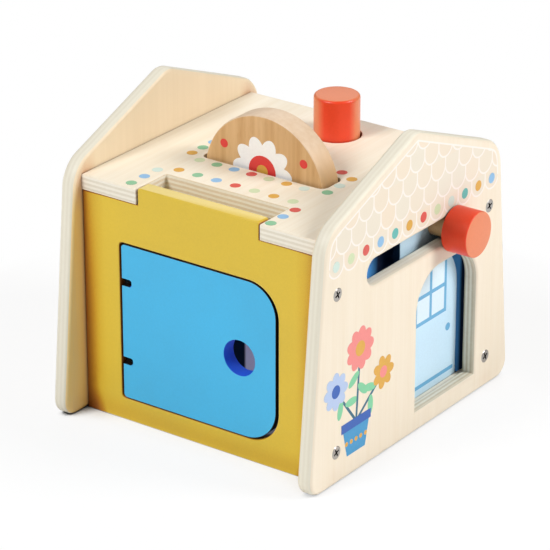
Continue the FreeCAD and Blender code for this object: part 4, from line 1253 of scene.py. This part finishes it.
class POPUP_OT_gable_prints(bpy.types.Operator):
    """Print the row of dots on both gables and a flower pot on the right one"""

    bl_idname = "popup.gable_prints"
    bl_label = "Gable prints"

    def execute(self, context):
        size = sizes()
        inks = ("cyan", "lime", "red", "blue", "teal", "ochre", "red", "lime", "cyan", "teal", "ochre",
                "blue")
        start = ((1 - len(inks)) / 2 * size.dot_pitch, size.dot_height)
        for node, outward in (("left_gable", -1), ("right_gable", 1)):
            low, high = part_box(node)
            level = (high.x if outward > 0 else low.x) - outward * size.print_relief
            art = Print("x", level, outward, sorted({ink + "_dot" for ink in inks}))
            art.row(start, (size.dot_pitch, 0), size.dot, inks)
            art.finish(node.replace("gable", "dots"), "house")
        self.print_flower_pot(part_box("right_gable")[1].x - size.print_relief)
        return {"FINISHED"}

    def print_flower_pot(self, level):
        """Pot with three flowers; its places are in millimetres along and up the gable."""
        art = Print("x", level, 1, ["royal", "mid_blue", "leaf", "stalk", "coral", "lavender", "ochre_dot"])
        pot = Vector((-52, 12)) * MM
        rim = pot + Vector((0, 17)) * MM
        for place, radius, petal, eye, count in (
            ((-70, 52), 10, "lavender", "royal", 8),
            ((-49, 68), 11.5, "coral", "ochre_dot", 9),
            ((-28, 47), 9, "ochre_dot", "coral", 7),
        ):
            head = Vector(place) * MM
            self.print_stalk(art, rim, head)
            art.petals(head, radius * 0.62 * MM, radius * 0.42 * MM, petal, 0.72, count)
            art.spot(*head, radius * 0.36 * MM, eye)
        for corners, ink in ((((-8, 0), (8, 0), (11.5, 15), (-11.5, 15)), "mid_blue"),
                             (((-13, 14), (13, 14), (13, 19), (-13, 19)), "royal")):
            art.patch([pot + Vector(corner) * MM for corner in corners], ink)
        art.row(pot + Vector((-8.4, 7)) * MM, (4.2 * MM, 0), 1.3 * MM, ["ochre"] * 5)
        art.finish("gable_print", "house")

    def print_stalk(self, art, rim, head):
        """Stalk from the pot's rim to a flower's head, with a leaf on each side."""
        art.stroke(rim, head, 1.6 * MM, "stalk")
        stalk = (head - rim).normalized()
        turn = math.atan2(stalk.y, stalk.x)
        for side, share in ((-1, 0.42), (1, 0.6)):
            spot = rim.lerp(head, share) + stalk.orthogonal() * side * 4.2 * MM
            art.spot(*spot, 5.4 * MM, "leaf", 0.42, turn - side * 0.9)


class POPUP_OT_inner_boards(bpy.types.Operator):
    """Finish the boards and the rocker inside the box"""

    bl_idname = "popup.inner_boards"
    bl_label = "Inner boards and rocker"

    def execute(self, context):
        finishes = {
            "base": "base_ply", "partition": "partition_print_with_painted_light_and_shade", "picture_board": "picture_print_with_painted_light_and_shade",
            "upper_rail": "pine_batten", "shelf": "shelf_ply", "left_batten": "pine_batten",
            "right_batten": "pine_batten", "door_stop": "beech_upright", "rocker": "beech_upright",
            "left_bracket": "left_bracket_ply", "right_bracket": "right_bracket_ply",
            "rocker_axle": "beech_across",
        }
        for node, material in finishes.items():
            finish_node(node, material)
        return {"FINISHED"}


class POPUP_OT_stage(bpy.types.Operator):
    """Set up the floor, the world, the lamps and the camera"""

    bl_idname = "popup.stage"
    bl_label = "Stage"

    def execute(self, context):
        self.add_floor()
        self.set_world(context.scene)
        for name, place, size, power in (("key_lamp", (1.5, 0.62, 1.25), 0.8, 28.0),
                                         ("left_lamp", (-0.55, -1.6, 1.7), 0.9, 37.0),
                                         ("back_lamp", (-0.75, 1.1, 1.05), 1.3, 3.5)):
            self.add_lamp(name, Vector(place), size, power)
        self.add_camera(context.scene)
        context.scene.view_settings.view_transform = "Standard"
        return {"FINISHED"}

    def add_floor(self):
        """Pale floor that keeps the shadow where the box stands, with painted shadow in its tight corners,
        and is plain white away from it.
        """
        bm = bmesh.new()
        bmesh.ops.create_grid(bm, x_segments=4, y_segments=4, size=6.0)
        mesh = bpy.data.meshes.new("floor")
        bm.to_mesh(mesh)
        bm.free()
        tree, shader, place = new_material("studio_floor")
        openness = add_node(tree, "AmbientOcclusion", {"Distance": 30 * MM}, samples=8).outputs["AO"]
        # Painted shadow: the floor's colour turns near black where the box closes in round it.
        corner = remap(tree, openness, 0.42, 0.2, 0.0, 0.85)
        set_inputs(tree, shader, {"Base Color": mix(tree, corner, paint("floor"), (0.02, 0.02, 0.02, 1)),
                                  "Roughness": 0.9, "Specular IOR Level": 0.1})
        open_floor = remap(tree, openness, 0.3, 0.55, 0.0, 0.84)
        gable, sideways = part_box("left_gable")[1].x, coordinate(tree, place, "x")
        beside_gable = remap(tree, sideways, gable + 8 * MM, gable + 24 * MM, 0.0, 0.6)
        reach = add_node(tree, "VectorMath", {0: place}, operation="LENGTH").outputs["Value"]
        far = remap(tree, reach, 0.14, 0.24)
        white = calculate(tree, "MAXIMUM", far, calculate(tree, "MAXIMUM", open_floor, beside_gable))
        seen = add_node(tree, "LightPath").outputs["Is Camera Ray"]
        glow = add_node(tree, "Emission", {"Color": (1, 1, 1, 1), "Strength": 1.0})
        both = add_node(tree, "MixShader", {0: times(tree, white, seen), 1: shader.outputs[0],
                                            2: glow.outputs[0]})
        set_inputs(tree, tree.nodes["Material Output"], {"Surface": both.outputs[0]})
        mesh.materials.append(bpy.data.materials["studio_floor"])
        floor = bpy.data.objects.new("floor", mesh)
        bpy.context.scene.collection.objects.link(floor)

    def set_world(self, scene):
        """Faint white light from all sides, plain white where the camera sees it."""
        world = bpy.data.worlds.new("studio")
        scene.world = world
        world.use_nodes = True
        tree = world.node_tree
        tree.nodes.clear()
        seen = add_node(tree, "LightPath").outputs["Is Camera Ray"]
        soft = add_node(tree, "Background", {"Color": (1, 1, 1, 1), "Strength": 0.14})
        white = add_node(tree, "Background", {"Color": (1, 1, 1, 1), "Strength": 1.0})
        both = add_node(tree, "MixShader", {0: seen, 1: soft.outputs[0], 2: white.outputs[0]})
        add_node(tree, "OutputWorld", {"Surface": both.outputs[0]})

    def add_lamp(self, name, place, size, power):
        """Round soft lamp that points at the middle of the box."""
        data = bpy.data.lights.new(name, "AREA")
        data.shape = "DISK"
        data.size = size
        data.energy = power
        lamp = bpy.data.objects.new(name, data)
        lamp.location = place
        lamp.rotation_euler = (Vector((0, 0, 0.07)) - place).to_track_quat("-Z", "Y").to_euler()
        bpy.context.scene.collection.objects.link(lamp)

    def add_camera(self, scene):
        """Camera that looks down on the door and the right gable."""
        data = bpy.data.cameras.new("camera")
        data.lens = 205.9
        data.sensor_width = 36
        camera = bpy.data.objects.new("camera", data)
        camera.location = (0.8763, -1.2211, 0.7385)
        camera.rotation_euler = (math.radians(65.98), 0, math.radians(35.83))
        scene.collection.objects.link(camera)
        scene.camera = camera


STEPS = (POPUP_OT_materials, POPUP_OT_gables, POPUP_OT_walls, POPUP_OT_door, POPUP_OT_hinge, POPUP_OT_screws,
         POPUP_OT_shutter, POPUP_OT_knobs, POPUP_OT_disc, POPUP_OT_roof_dots, POPUP_OT_gable_prints,
         POPUP_OT_inner_boards, POPUP_OT_stage)


class POPUP_PT_panel(bpy.types.Panel):
    """Lists the steps of the finish"""

    bl_idname = "POPUP_PT_panel"
    bl_label = "Pop Up Box"
    bl_space_type = "VIEW_3D"
    bl_region_type = "UI"
    bl_category = "Pop Up Box"

    def draw(self, context):
        for step in STEPS:
            self.layout.operator(step.bl_idname)


CLASSES = (PopUpSizes, PopUpColours, *STEPS, POPUP_PT_panel)


def register():
    for cls in CLASSES:
        bpy.utils.register_class(cls)
    bpy.types.Scene.pop_up_sizes = PointerProperty(type=PopUpSizes)
    bpy.types.Scene.pop_up_colours = PointerProperty(type=PopUpColours)


def unregister():
    del bpy.types.Scene.pop_up_colours
    del bpy.types.Scene.pop_up_sizes
    for cls in reversed(CLASSES):
        bpy.utils.unregister_class(cls)


def main():
    register()
    for step in STEPS:
        category, name = step.bl_idname.split(".")
        getattr(getattr(bpy.ops, category), name)()


if __name__ == "__main__":
    main()
